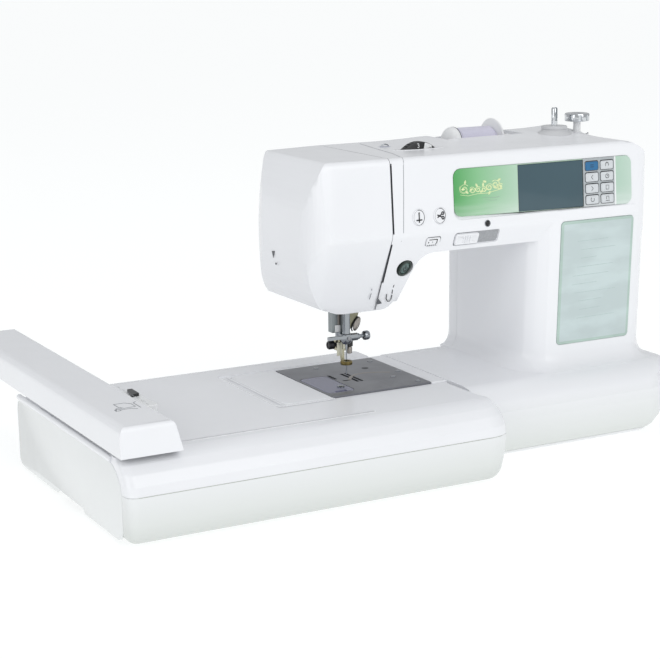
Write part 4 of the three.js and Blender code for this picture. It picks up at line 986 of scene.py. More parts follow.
class BuildControls(bpy.types.Operator):
    """Builds the push buttons, the speed slider and their symbols"""

    bl_idname = "machine.controls"
    bl_label = "Controls"

    def execute(self, context):
        self.round_button("needle_position", 39.9, 220.4)
        self.round_button("thread_cutter", 61.2, 220.3)
        needle = [[(0, -4.4), (0, 4.4)], [(-0.3, 3.2), (0.3, 4.4)], [(0, -3.2), (0, -1.6)]]
        needle.append([(-2.9, -2.3), (2.9, -2.1)])
        self.print_on("needle_position", needle, "upper", 39.3, 220.4)
        blades = [[(-3.0, 0.9), (1.6, -1.2)], [(-2.8, -1.4), (1.5, 1.4)]]
        rings = [arc(2.6, 2.1, 1.1, 0, 360), arc(2.7, -1.9, 1.1, 0, 360)]
        self.print_on("thread_cutter", blades + rings, "upper", 60.6, 220.3)
        self.reinforcement()
        self.start_stop()
        self.slider()
        return {"FINISHED"}

    def round_button(self, body, x, z):
        profile = [(6.9, -5.5), (7.1, -5.2), (7.1, 0.2), (6.9, 0.6), (6.4, 0.8)]
        profile += [(4.6, 0.82), (2.0, 0.8), (0.2, 0.78)]
        cap = settle(turned(profile, 64), on_face("upper", x, z))
        done(cap, body + "_cap", "shell", body, "white", body + "_button")
        # Arcs of painted shade round the cap: darker on its right, softer on its left.
        rims = {"_outline": (-75, 100, 0.3, "shadow"), "_outline_left": (100, 285, 0.18, "soft_shadow")}
        for suffix, (start, end, thick, finish) in rims.items():
            rim = [[(a * 0.82 - 0.6, b) for a, b in arc(0, 0, 6.4, start, end, 30)]]
            place = on_face("upper", x, z, 0.82)
            symbol(rim, place, body + suffix, body, "white", finish, thick * MM)

    def print_on(self, body, strokes, face, x, z, proud=0.92):
        place = on_face(face, x, z, proud)
        symbol(strokes, place, body + "_symbol", body, "white", radius=0.58 * MM)

    def reinforcement(self):
        obj = slab(14, 8, 6.7, 2.2, 0.6)
        settle(obj, on_face("lower", 55.2, 198, -5.8))
        done(obj, "reinforcement_cap", "shell", "reinforcement", "white", "reinforcement_button")
        flat = on_face("lower", 55.2, 198, 0.03)
        # Painted shade round the button's recess: darker along its top and right, softer along its left
        # and bottom.
        corner = [(-6, 4.5), (2, 4.5), *arc(5.2, 2.4, 2.1, 90, 0, 5), (7.3, -1), (6.4, -3), (4.6, -4.4)]
        symbol([corner], flat, "reinforcement_outline", "machine", "white", "shadow", 0.3 * MM)
        rest = [[(-6, 4.5), *arc(-5.4, 2.4, 2.1, 110, 180, 4), (-7.4, -3.4), (-5, -4.5), (4.6, -4.4)]]
        symbol(rest, flat, "reinforcement_outline_left", "machine", "white", "soft_shadow", 0.18 * MM)
        dashes = [[(x, -3.1), (x + 0.9, -3.1)] for x in (-5.4, -3.6, -1.8, 0.0, 2.0)]
        lines = [[(-4.6, 2.4), (3.6, 2.5)], [(3.6, 2.5), (3.6, -1.7)], [(-4.8, 0.6), (-4.8, -0.8)]]
        dot = [[(-1.2, -0.2), (-0.6, 0.3)], [(2.6, -2.0), (3.0, -1.8)]]
        place = on_face("lower", 55.2, 198, 0.98)
        symbol(dashes + lines + dot, place, "reinforcement_symbol", "reinforcement", "white")

    def start_stop(self):
        tilt = Matrix.Rotation(math.radians(-20), 4, "Z")
        place = on_face("lower", 33, 175) @ tilt
        wide, tall = 5.3, 7.9
        steps = [(1, -5.6), (1, 0.5), (0.95, 1.1), (0.84, 1.2), (0.75, 0.7), (0.72, 0.2)]
        steps += [(0.72, -5.6), (1, -5.6)]
        ring = settle(turned([(wide * k, tall * k, h) for k, h in steps], 64, True), place)
        done(ring, "start_stop_bezel", "ring", "start_stop", "black_moulding", "start_stop_button")
        steps = [(0.69, -4), (0.69, 0.1), (0.62, 0.5), (0.45, 0.8), (0.22, 0.95), (0.03, 1.0)]
        lens = settle(turned([(wide * k, tall * k, h) for k, h in steps], 48), place)
        done(lens, "start_stop_lens", "lens", "start_stop", "black_moulding")
        sign = [arc(0, 0, 1.9, 130, 410), [(0, -0.4), (0, 3.4)], [(-1.2, -2.6), (1.2, -2.2)]]
        place = on_face("lower", 33, 175, 0.98)
        symbol(sign, place, "start_stop_symbol", "start_stop", "black_moulding")

    def slider(self):
        cap = slab(24, 10.6, 2.7, 2.0, 0.7)
        inset_top(cap, (1.4, -0.5))
        grips = [slab(1.0, 7.4, 0.9, 0.4, 0.3) for _ in range(4)]
        for k, grip in enumerate(grips):
            settle(grip, Matrix.Translation(Vector((-3.4 + 2.3 * k, 0, 2.1)) * MM))
        neck = settle(slab(8, 2.6, 5.5, 0.6), Matrix.Translation(Vector((-6, 0, -5.0)) * MM))
        obj = joined([cap, *grips, neck])
        settle(obj, on_face("lower", middle("speed_slider")[0], 197.5, -1.15))
        done(obj, "speed_slider_cap", "shell", "speed", "white", "speed_slider")
        # A grey floor of painted shade in the slider's slot.
        floor = slab(46.4, 12.8, 0.25, 2.4)
        settle(floor, on_face("lower", 100.25, 197.5, -1.62))
        done(floor, "speed_slider_track", "soft_shadow", "machine", "white")


class BuildPanel(bpy.types.Operator):
    """Builds the printed panel, the display, the keys and the reference card"""

    bl_idname = "machine.panel"
    bl_label = "Panel"

    def execute(self, context):
        overlay = reskin("panel_overlay", "panel", "machine", "green_panel")
        left, bottom = at(110, 0, 0).x, 0.225
        edit(overlay)
        choose(overlay, "verts", lambda v: v.co.x < left and v.co.z < bottom)
        bpy.ops.transform.translate(value=(0, 0, 2.8 * MM))
        leave()
        self.display()
        for number in range(1, 9):
            self.key(number)
        self.motif()
        self.card()
        return {"FINISHED"}

    def display(self):
        low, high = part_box("lcd_screen")
        width = (high.x - low.x) / MM
        glass = slab(width, 41.7, 5.1, 0.6, 0.25)
        x = middle("lcd_screen")[0]
        settle(glass, on_face("upper", x, 237.2, -5.0))
        done(glass, "display_glass", "display", "machine", "screen", "lcd_screen")
        # A dark line of painted shade round the display's glass.
        edge = [(-35.6, -21.2), (35.6, -21.2), (35.6, 21.2), (-35.6, 21.2), (-35.6, -21.2)]
        border = bead([(px, py, 0) for px, py in edge], 0.3 * MM, 1)
        settle(border, on_face("upper", x, 237.2, 0.3))
        done(border, "display_border", "shadow", "machine", "screen")

    def key(self, number):
        node = f"key_{number}"
        x, z = middle(node)
        pad = slab(14.9, 8.5, 5.6, 1.9, 0.4)
        inset_top(pad, (0.75, 0.0), (0.25, 0.35))
        finish = "key_main" if number == 1 else "key"
        dress(pad, "shadow", finish)
        across, up = (7.45 - 0.74) * MM, (4.25 - 0.74) * MM

        def crown(f):
            inside = abs(f.center.x) < across and abs(f.center.y) < up
            return inside and f.center.z > 5.59 * MM and f.normal.z > 0.2

        paint(pad, 1, crown)
        settle(pad, on_face("upper", x, z, -4.9))
        slot = "key_blue" if number == 1 else "key_grey"
        done(pad, node + "_pad", None, node, slot, node)
        signs = {
            1: [[(-2, 0.9), (2, 0.9)], [(-2, -0.9), (2, -0.9)]],
            2: [arc(0, 0.3, 1.9, -40, 220), [(0, 0.4), (0, 2.6)]],
            3: [[(1.0, 2.0), (-1.0, 0), (1.0, -2.0)]],
            4: [arc(0, 0, 1.9, 0, 360), [(0, 0), (0, 1.2)], [(0, 0), (0.9, 0)]],
            5: [[(-1.0, 2.0), (1.0, 0), (-1.0, -2.0)]],
            6: [[(-1.6, -1.8), (1.6, -1.8), (1.6, 1.8), (-1.6, 1.8), (-1.6, -1.8)]],
            7: [arc(0, 0.2, 1.9, 130, 400), [(-1.9, 1.4), (-1.0, 1.8)]],
            8: [[(-2.2, -1.8), (2.2, -1.8)], [(-1.4, -0.6), (-1.4, 2.0), (1.4, 2.0), (1.4, -0.6)]],
        }
        place = on_face("upper", x, z, 1.06)
        symbol(signs[number], place, node + "_sign", node, slot, "ink", 0.26 * MM)

    def motif(self):
        """A generic vine with curls and leaves, printed on the green."""
        place = on_face("upper", 104, 239.5, 0.5)
        centres = [(-18, 1.5, 5.2), (-9.5, 0.2, 3.4), (-3.4, 0.4, 3.0), (2.6, 0.2, 3.0)]
        centres += [(8.4, 1.6, 3.6), (15, 3.4, 4.8), (19.5, 1.4, 3.4)]
        curls = []
        for k, (x, y, size) in enumerate(centres):
            for start in (0.6, 2.4):
                curls.append(self.curl(x, y, size, start, -1 if k % 2 else 1))
        stem = [(-22, -3), (-14, -4.4), (-4, -3.2), (6, -3.4), (14, -2.0), (22, -0.6)]
        symbol(curls + [stem], place, "panel_vine", "machine", "green_panel", "pale_ink", 0.3 * MM)
        leaf = [(0, 0), (1.2, 1.0), (2.8, 1.1), (4.6, 0), (2.8, -1.1), (1.2, -1.0)]
        leaves = []
        for k in range(12):
            x, y = -21 + 3.8 * k, 4.6 * math.sin(k * 2.1) + 1.5 + 0.12 * k
            one = cutout([(a * 0.9, b * 0.9) for a, b in leaf], 0.09)
            twig = Matrix.Translation(Vector((x, y, 0)) * MM) @ Matrix.Rotation(k * 1.3, 4, "Z")
            leaves.append(settle(one, place @ twig))
        done(joined(leaves), "panel_leaves", "pale_ink", "machine", "green_panel")
        waves = []
        for row in range(2):
            steps = range(1 + 3 * row, 14 - row)
            waves.append([(-20 + 3 * k, -7.4 - 2.2 * row + 0.5 * math.sin(k)) for k in steps])
        symbol(waves, place, "panel_waves", "machine", "green_panel", "grey_ink", 0.14 * MM)

    def curl(self, x, y, size, start, turn):
        """A curl that winds in to its middle, from an angle in radians, one way or the other."""
        points = []
        for j in range(14):
            angle = start + turn * j * 0.6
            reach = size * (1 - j / 17)
            points.append((x + reach * math.cos(angle), y + 0.9 * reach * math.sin(angle)))
        return points

    def card(self):
        low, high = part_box("reference_card")
        x, z = middle("reference_card")
        width, height = (high.x - low.x) / MM, 114.6
        sheet = slab(width, height, 1.5, 4, 0.5, 8)
        inset_top(sheet, (1.5, -0.3), (0.7, 0.2))
        dress(sheet, "card_edge", "card")
        paint(sheet, 1, lambda f: f.normal.z > 0.99 and f.area > (60 * MM) ** 2)
        settle(sheet, on_face("column", x, z, -0.95))
        done(sheet, "reference_card_sheet", None, "machine", "card", "reference_card")
        rows = []
        for k in range(10):
            start, end = -22 + 5 * math.sin(k), 12 + 12 * math.sin(k * 2.3)
            rows.append([(start, 38 - 8 * k), (end, 38.6 - 8 * k)])
        place = on_face("column", x, z, 0.3)
        symbol(rows, place, "reference_card_rows", "machine", "card", "card_print", 0.4 * MM)


class BuildThreadSupply(bpy.types.Operator):
    """Builds the spool on its pin, the tension dial and the bobbin winder"""

    bl_idname = "machine.thread_supply"
    bl_label = "Thread supply"

    def execute(self, context):
        self.spool()
        self.dial(context.scene.machine_sizes.notches)
        self.winder()
        return {"FINISHED"}

    def spool(self):
        left, right = 149.3, 190.7
        lie = facing("x", *SPOOL)
        body = [(13, left), (13, left + 1.2), (15, left + 3)]
        turns = 34
        for k in range(turns):
            along = left + 3 + (right - left - 6) * (k + 0.5) / turns
            body += [(15.0, along - 0.35), (14.75, along + 0.1)]
        body += [(15, right - 3), (13, right - 1.2), (13, right), (3.4, right), (3.4, left), (13, left)]
        wound = settle(turned(body, 64, True), lie)
        done(wound, "wound_spool", "thread", "spool", "thread", "thread_spool", smooth=60)
        rim = left - 0.3
        rise = [k * math.pi / 22 for k in range(10)]
        dome = [(16 * math.cos(a), rim - 2 - 8.4 * math.sin(a)) for a in rise]
        profile = [(3.3, rim), (15.4, rim), (16, rim - 0.6), *dome, (3.3, rim - 10.3), (3.3, rim)]
        cap = settle(turned(profile, 64, True), lie)
        done(cap, "spool_cap_dome", "milky", "spool_end", "white", "spool_cap", smooth=40)
        # A dark band of painted shade where the cap meets the thread.
        start = (15.2, rim - 0.4)
        band = [start, (16.15, rim - 0.4), (16.15, rim + 0.1), (15.2, rim + 0.1), start]
        edge = settle(turned(band, 64, True), lie)
        done(edge, "spool_cap_edge", "shadow", "spool_end", "white")
        disc = right + 0.3
        pin = [(2.2, left - 15), (2.8, left - 14), (3, left - 12.6), (3, disc)]
        plate = [(20.8, 0), (21.6, 0.3), (22, 1.0), (21.6, 1.8), (20.6, 2.4), (7, 5.4), (6, 7)]
        pin += [(radius, disc + along) for radius, along in plate] + [(6, 212.6)]
        arm = settle(turned(pin, 72), lie)
        done(arm, "spool_pin_and_disc", "milky", "machine", "white", "spool_pin", smooth=40)

    def dial(self, notches):
        radius, thick = 23.0, 8.0
        half = thick / 2
        rim = [(radius - 1, half), (radius - 0.3, half - 0.3), (radius, half - 1)]
        tyre = [(r, -h) for r, h in rim] + [(r, h) for r, h in reversed(rim)]
        steps = 3 * notches
        wheel = turned([(3, -5.5), (3, -half), *tyre, (3, half), (3, 11.5)], steps)
        edit(wheel, "FACE")

        def notch(f):
            step, out = round_place(f, steps)
            return abs(f.normal.z) < 0.1 and out > 22 * MM and step % 3 == 0

        choose(wheel, "faces", notch)
        bpy.ops.mesh.inset(thickness=0.12 * MM, depth=-0.5 * MM, use_individual=True)
        leave()
        settle(wheel, facing("y", *DIAL))
        done(wheel, "tension_wheel", "black", "tension", "black_moulding", "tension_dial", smooth=28)
        figures = []
        for k in range(9):
            bpy.ops.object.text_add()
            text = bpy.context.object
            text.data.body = str(k + 1)
            text.data.size = 5.6 * MM
            text.data.extrude = 0.12 * MM
            text.data.align_x = "CENTER"
            text.data.align_y = "CENTER"
            only(text)
            bpy.ops.object.convert(target="MESH")
            text = bpy.context.object
            turn = math.radians(-6 + (k - 2) * 38)
            lean = Matrix.Rotation(-turn, 4, "Z")
            spin = facing("-y", *DIAL_FACE) @ lean @ Matrix.Translation((0, 19.6 * MM, 0))
            settle(text, spin)
            figures.append(text)
        done(joined(figures), "tension_figures", "white_ink", "tension", "black_moulding")
        # A white band on the wheel's face, across the ring of figures.
        band = arc(0, 0, radius - 0.5, 78, 58, 8) + arc(0, 0, 16.5, 58, 78, 8)
        patch = settle(cutout(band, 0.12), facing("-y", *DIAL_FACE))
        done(patch, "tension_zone_mark", "white_ink", "tension", "black_moulding")
        bezel = [(20.2, 5.9, -1.2), (20.2, 5.9, 0.25), (21.2, 6.9, 0.5), (26, 9.4, 0.35)]
        bezel += [(27, 10, 0.02), (27, 10, -0.3), (20.2, 5.9, -1.2)]
        ring = settle(turned(bezel, 72, True), facing("z", DIAL[0], DIAL[1], TOP))
        done(ring, "dial_surround", "shell", "machine", "white")
        dot = turned([(0.9, -0.2), (0.9, 0.12), (0.5, 0.2)], 20)
        settle(dot, facing("z", 49.5, -3.5, 272.3))
        done(dot, "dial_pointer", "ink", "machine", "white")
        flat = cutout([(-5, -3.4), (5.4, -3.0), (6.2, 3.0), (-4.2, 3.4)], 0.14)
        settle(flat, facing("z", 55.5, 27, 271.98))
        done(flat, "guide_plate", "guide_tint", "machine", "white")
        loop = bead([(-4, 0, 0), (-3, 0, 1.5), (0, 0, 2.2), (3, 0, 1.5), (4, 0, 0)], 0.55 * MM)
        settle(loop, facing("z", 58, 30, TOP - 0.2))
        done(loop, "thread_guide_wire", "chrome", "machine", "chrome")

    def winder(self):
        x, y, stop = 240.5, 24.0, 267
        stem = [(8, 252), (8, 256), (3, 256), (3, 272.2)]
        skirt = [(16.6, 272.2), (16.8, 273), (15.2, 274.4), (12.8, 276), (11.6, 277.6), (11.8, 278)]
        cap = [(12.3, 278.4), (12.3, 280.2), (11.6, 280.8), (4.4, 281.2)]
        bore = [(3.4, 281.2), (3.4, 274.3), (0.4, 274.3)]
        seat = settle(turned(stem + skirt + cap + bore, 64), facing("z", x, y, 0))
        done(seat, "winder_cone", "seat_grey", "winder_base", "case_grey", "winder_seat")
        waist = [(3.0, 286), (2.75, 286.3), (2.75, 287.3), (3.0, 287.6)]
        rod = turned([(3.0, 274.6), *waist, (3.0, 296.4), (2.6, 297.5), (2.0, 298)], 40)
        settle(rod, facing("z", x, y, 0))
        cutter = settle(slab(1.3, 10, 14), facing("z", x, y, 285.5))
        modify(rod, "BOOLEAN", operation="DIFFERENCE", object=cutter, solver="EXACT")
        bpy.data.objects.remove(cutter)
        done(tidy_up(rod), "winder_spindle", "bright", "winder", "chrome", "winder_shaft")
        spring = bead([(0, 0, 283), (1.6, 0, 286), (3.25, 0, 290), (1.6, 0, 295)], 0.35 * MM)
        settle(spring, facing("z", x - 0.6, y, 0))
        done(spring, "winder_spring", "shaft", "winder", "chrome")
        post = turned([(5.2, 272.2), (4.6, 273.2), (3.6, 274), (3.4, 284.6), (3.9, 286)], 40)
        settle(post, facing("z", stop, y, 0))
        done(post, "winder_stop_post", "milky", "machine", "chrome")
        knob = [(9.4, 283.6), (11.4, 284), (11.8, 284.8), (11.8, 290.2), (11.4, 291), (10, 291.4)]
        knob += [(5, 291.3), (3.4, 290.4), (1.6, 290.6), (0.3, 290.6)]
        disc = turned(knob, 72)
        edit(disc, "FACE")
        lobes = 9

        def hollow(f):
            centre = f.calc_center_median()
            angle = math.degrees(math.atan2(centre.y, centre.x)) % (360 / lobes)
            return abs(f.normal.z) < 0.2 and centre.xy.length > 11.2 * MM and angle < 16

        choose(disc, "faces", hollow)
        bpy.ops.mesh.inset(thickness=0.5 * MM, depth=-1.3 * MM)
        leave()
        settle(disc, facing("z", stop, y, 0))
        done(disc, "winder_stop_disc", "bright", "machine", "chrome", "winder_stop")
        # A grey line of painted shade along the groove round the stop.
        sweep = [3.5 + k * 0.3 for k in range(10)]
        groove = [(stop + 12 * math.cos(a), y + 9 * math.sin(a), TOP) for a in sweep]
        line = wire(groove, 0.4 * MM, 1)
        done(line, "winder_stop_groove", "grey_ink", "machine", "white")


class BuildNeedleWorks(bpy.types.Operator):
    """Builds the needle bar, its clamp, the foot and the threader below the head"""

    bl_idname = "machine.needle_works"
    bl_label = "Needle works"

    def execute(self, context):
        reskin_all(
            ("needle_bar", "chrome", "needle_carrier", "chrome"),
            ("presser_bar", "chrome", "presser", "chrome"),
            ("needle_clamp", "chrome", "needle_carrier", "chrome"),
            ("needle", "chrome", "needle_carrier", "chrome"),
            ("embroidery_foot", "nickel", "presser", "nickel"),
            ("presser_lifter", "lower", "lifter", "case_grey"),
        )
        self.screws()
        self.guards()
        return {"FINISHED"}

    def screws(self):
        knob = [(2.6, 11.4), (2.6, 13), (1.7, 13.5), (1.7, 16.8), (2.8, 17.2), (3.9, 17.8)]
        knob += [(4.2, 18.8), (4.2, 21.6), (3.8, 22.6), (3.0, 22.9), (2.4, 22.4), (0.3, 22.3)]
        screw = settle(turned(knob, 40), facing("x", 0, 0, 108.1))
        done(screw, "needle_screw_knob", "chrome", "needle_screw", "chrome", "needle_clamp_screw")
        drum = [(1.9, 4.8), (1.9, 5.6), (3.3, 6.0), (3.9, 6.6), (3.9, 11.2), (3.4, 12.0)]
        sides = 48
        head = turned(drum + [(2.2, 12.2), (1.8, 11.6), (0.3, 11.6)], sides)
        edit(head, "FACE")

        def rib(f):
            step, out = round_place(f, sides)
            return abs(f.normal.z) < 0.1 and out > 3.7 * MM and step % 2 == 0

        choose(head, "faces", rib)
        bpy.ops.mesh.inset(thickness=0.05 * MM, depth=-0.3 * MM, use_individual=True)
        leave()
        settle(head, facing("-x", 0, 12, 100.2))
        done(head, "foot_screw_head", "black", "presser_screw", "black_moulding", "foot_screw")

    def guards(self):
        plan = [(-10.6, 13.6), (-10.6, 6), (-0.9, 6), (-0.9, 7.2), (-9.4, 7.2), (-9.4, 13.6)]
        guard = settle(cutout(plan, 25), facing("z", 0, 0, 112.4))
        done(guard, "needle_guard", "guard", "machine", "nickel")
        # A light strip and a white patch on the guard: painted highlights on the bent plate.
        strip = settle(slab(2.5, 0.6, 18, 0.2, 0.2), facing("z", -3.9, 5.8, 119.4))
        done(strip, "needle_guard_rail", "lever", "machine", "nickel")
        patch = settle(slab(5.4, 0.9, 6.2, 0.3, 0.3), facing("z", -5.4, 5.7, 113))
        done(patch, "needle_guard_pad", "milky", "machine", "white")
        arm = [(5.4, 24), (16.4, 24), (16.6, 18), (15.4, 14.6)]
        arm += [(12.6, 11), (10.4, 8), (8.2, 4.2), (5.4, 4.2)]
        body = settle(cutout(arm, 1.4), facing("-y", 0, 8.0, 110))
        done(body, "threader_arm", "bracket", "machine", "nickel", "threader_bracket")
        blade = [(2.6, 6.2, 0), (3.0, 6.7, 0.4), (3.0, 6.7, 1.0), (2.4, 6.0, 1.5), (0.2, 0.4, 1.7)]
        leaf = turned(blade, 40)
        place = facing("-y", 14.2, 6.5, 118.2) @ Matrix.Rotation(math.radians(-24), 4, "Z")
        done(settle(leaf, place), "threader_leaf", "lever", "machine", "nickel")
        # A dark line along the bracket's lower edge.
        edge = [(9.4, 5.8, 112), (8.6, 5.6, 114.4), (10.2, 5.6, 118.4)]
        edge += [(13.4, 5.6, 122.6), (15.6, 5.6, 124.6)]
        line = wire(edge, 0.6 * MM)
        done(line, "threader_spring", "black", "machine", "black_moulding")
        hook = [(6.4, 5.4, 131.8), (12, 5.2, 132.2), (16, 5, 132.6)]
        for k in range(11):
            hook.append((17.6 + 1.9 * math.sin(k * 0.5), 5, 130.9 + 1.9 * math.cos(k * 0.5)))
        rod = wire(hook, 0.75 * MM)
        done(rod, "threader_hook", "black", "machine", "black_moulding")
        self.foot_parts()
        side = turned([(2.4, 0), (2.4, 1.4), (1.8, 1.8), (0.3, 1.8)], 32)
        settle(side, facing("x", 14.0, 9.6, 120.6))
        done(side, "threader_pivot", "shaft", "machine", "nickel")
        outside = [(5.2, 83.9), (5.4, 84.4), (5.4, 86.6), (5.0, 87.1)]
        inside = [(3.0, 87.1), (2.7, 86.8), (2.7, 84.2), (3.0, 83.9), (5.2, 83.9)]
        tip = turned(outside + inside, 40, True)
        settle(tip, facing("z", 0, 0, 0.02))
        done(tip, "foot_ring", "brass", "presser", "nickel")
        set_screw = turned([(1.8, -6.6), (1.8, -5.5), (1.3, -5.3), (0.3, -5.3)], 24)
        settle(set_screw, facing("-y", 0, -11.9, 108.2))
        done(set_screw, "clamp_set_screw", "shaft", "needle_carrier", "chrome")

    def foot_parts(self):
        plates = [settle(slab(5.4, 0.6, 12.2, 0.2, 0.2), facing("z", -3.6, 5.85, 91))]
        plates.append(settle(slab(4.2, 0.6, 6.6, 0.2, 0.2), facing("z", 1.7, 5.85, 96.6)))
        done(joined(plates), "foot_front_plates", "foot_plate", "presser", "nickel")
        spring = settle(slab(5, 3.2, 5.6, 0.6, 0.5), facing("z", 9.2, 10, 97.4))
        done(spring, "foot_spring_holder", "black", "presser", "black_moulding")
        barrel = turned([(1.6, 90.8), (2.6, 91.2), (2.7, 96), (2.2, 97), (0.4, 97.4)], 32)
        done(settle(barrel, facing("z", 8.6, 10, 0)), "foot_spring_barrel", "lever", "presser", "nickel")


class BuildBed(bpy.types.Operator):
    """Builds the needle plate, its screws and slots, and the bobbin's works below it"""

    bl_idname = "machine.bed"
    bl_label = "Bed"

    def execute(self, context):
        reskin_all(
            ("needle_plate", "plate", "machine", "plate_steel"),
            ("bobbin_cover", "clear", "bobbin_cover", "smoke_clear"),
            ("bobbin", "clear", "bobbin", "smoke_clear"),
            ("bobbin_case", "black", "machine", "black_moulding"),
            ("rotary_hook", "shaft", "hook", "plate_steel"),
            ("feed_dog", "shaft", "feed", "plate_steel"),
        )
        self.plate_details()
        return {"FINISHED"}

    def plate_details(self):
        screws = []
        for x, y in ((57.1, 5.9), (42.7, -9.4), (-2.6, 52.9), (54, 52), (54, -34)):
            head = turned([(2.6, 0), (2.6, 0.25), (2.0, 0.55), (0.9, 0.6), (0.2, 0.35)], 28)
            screws.append(settle(head, facing("z", x, y, PLATE)))
        done(joined(screws), "plate_screws", "chrome", "machine", "plate_steel")
        # A dark disc on the plate: painted shade in a hole.
        hole = settle(turned([(3.3, 0.0), (3.3, 0.08), (2.6, 0.1)], 28), facing("z", 37, 31.3, PLATE))
        done(hole, "plate_hole", "ink", "machine", "plate_steel")
        # A wide, flat band in the lighter nickel finish: a painted highlight across the plate.
        rim = [(3, 0), (7, 6), (12, 11.5), (18, 15), (26, 15.8), (34, 14), (42, 10.6), (49, 6)]
        line = flat_bead(rim, 1.5, 0.12, 2)
        settle(line, facing("z", 0, 0, PLATE))
        done(line, "plate_ridge", "lever", "machine", "plate_steel")
        knob = turned([(3.4, 0), (3.4, 0.9), (2.6, 1.3), (1.0, 1.4), (0.2, 1.3)], 32)
        settle(knob, facing("z", -15.9, -18.3, PLATE))
        done(knob, "bobbin_cover_catch", "chrome", "bobbin_cover", "smoke_clear")
        lines = [[(x, -40), (x, -14)] for x in (24, 30, 36)] + [[(x, -43), (x, -30)] for x in (9, 15)]
        place = facing("z", 0, 0, PLATE + 0.02)
        symbol(lines, place, "plate_guide_lines", "machine", "plate_steel", "grey_ink", 0.16 * MM)


class BuildUnit(bpy.types.Operator):
    """Builds the embroidery unit, its carriage and its hoop holder"""

    bl_idname = "machine.unit"
    bl_label = "Embroidery unit"

    def execute(self, context):
        ease = context.scene.machine_sizes.easing
        reskin("unit_top_cover", "shell", "embroidery_unit", "white", reshape=self.swell)
        reskin("unit_bottom_case", "case", "embroidery_unit", "case_grey", reshape=self.swell)
        reskin("unit_release_lever", "lower", "release", "case_grey", ease=ease)
        reskin("carriage_arm", "shell", "carriage", "white")
        reskin("frame_holder", "lower", "hoop_holder", "case_grey", ease=ease)
        wedge = cutout([(-3.6, -10), (4.4, -7), (4.6, 9), (0.4, 9)], 2.4)
        settle(wedge, facing("z", -212, -14, 87.8))
        done(wedge, "holder_clip", "black", "hoop_holder", "black_moulding")
        reskin("frame_lock_lever", "lower", "hoop_lock", "case_grey", ease=ease / 2)
        self.seam(context.scene.machine_sizes.seam)
        self.side_wall()
        self.ledges()
        self.carriage_marks()
        return {"FINISHED"}

    def seam(self, radius):
        left, right, front = -266.9, 76.4, -139.85
        path = [(left + 4, front + 2.4, SEAM), (left + 9, front, SEAM), (right - 14, front, SEAM)]
        for a in (0.4, 0.8, 1.2):
            path.append((right - 13 + 20 * math.sin(a), front + 14 - 14 * math.cos(a), SEAM))
        # A pale grey line of painted shade in the seam between the unit's two covers.
        line = wire(path, radius * 0.8, 1)
        done(line, "unit_seam", "unit_seam", "embroidery_unit", "white")

    def swell(self, case):
        """Lets the front corner that passes the machine's base swell out and tuck in below."""
        score(case, 1, (-102,))

        def widen(level):
            scale = 1 + 0.48 * (1 - ((level - 40) / 34) ** 2)
            bpy.ops.transform.resize(value=(max(0.7, scale), 1, 1), center_override=at(60, 0, 0))

        cuts = (6, 12, 20, 30, 50, 58, 64)
        flow(case, 2, cuts, lambda p: round(p.z, 1), lambda p: p.x > 60.5 and p.y < -103, widen)

    def ledges(self):
        """The raised lips round the free arm and along the carriage's slot, in a whiter ink as a painted
        highlight.
        """
        outer = [(-94, 66), (-94, -41), (-92, -46.5), (-86.5, -49), (-39, -49)]
        inner = [(-87, 66), (-87, -42), (-85.4, -45.6), (-39, -45.8)]
        slot = [(-198, -103.4), (-31, -103.4), (-29, -101.6), (-30.5, -99.6)]
        for name, path, thick in (("outer", outer, 1.0), ("inner", inner, 0.6), ("slot", slot, 0.6)):
            lip = flat_bead(path, thick, 0.5, 3)
            settle(lip, facing("z", 0, 0, BED))
            done(lip, "unit_lip_" + name, "lip", "embroidery_unit", "white")

    def side_wall(self):
        """The plain wall that closes the unit's free end, with a soft lip along its top."""
        wall = [(4, 112), (8, 116), (52, 117), (60, 115), (63, 110), (63, -101), (61, -110)]
        wall += [(56, -118), (48, -124.5), (40, -127), (12, -127), (5, -124), (2.5, -116)]
        wall += [(2.5, -45), (6, -40), (6, 14), (2.5, 20), (2.5, 106)]
        plate = settle(cutout(wall, 0.9), facing("-x", -266.6, 0, 0))
        sharp = math.radians(50)
        modify(plate, "BEVEL", width=0.4 * MM, segments=2, limit_method="ANGLE", angle_limit=sharp)
        done(plate, "unit_side_wall", "wall", "embroidery_unit", "white")
        lip = [(-268.2, 112, 64.6), (-268.4, 60, 65), (-268.4, -98, 65), (-268.2, -104, 64.6)]
        bar = settle(bead(lip + [(-267.6, -106, 64.4)], 2.6 * MM, 4), facing("z", 1.4, 0, 0))
        done(bar, "unit_side_lip", "shell", "embroidery_unit", "white")

    def carriage_marks(self):
        place = facing("z", -240, -71, 95.02)
        hoop = [[(-6, 9), (3, 9), (7, 4), (7, -5), (-3, -6), (-6, -1), (-6, 9)]]
        hoop += [[(9.5, -10), (9.5, 6), (12.5, 9)], arc(-9.5, -9, 2.4, 0, 360)]
        hoop += [[(-7, -9), (2, -9), (6, -12)], [(-12, -12), (-9, -4), (-4, -5)]]
        symbol(hoop, place, "hoop_symbol", "carriage", "white", "grey_ink")
        # Dashes of painted shade along a slit at the carriage arm's top edge.
        slit_dashes = [[(-221.5, -74 + 10 * k), (-221.5, -70 + 10 * k)] for k in range(7)]
        place = facing("z", 0, 0, 94.6)
        symbol(slit_dashes, place, "carriage_scale", "carriage", "white", "soft_shadow", 0.25 * MM)


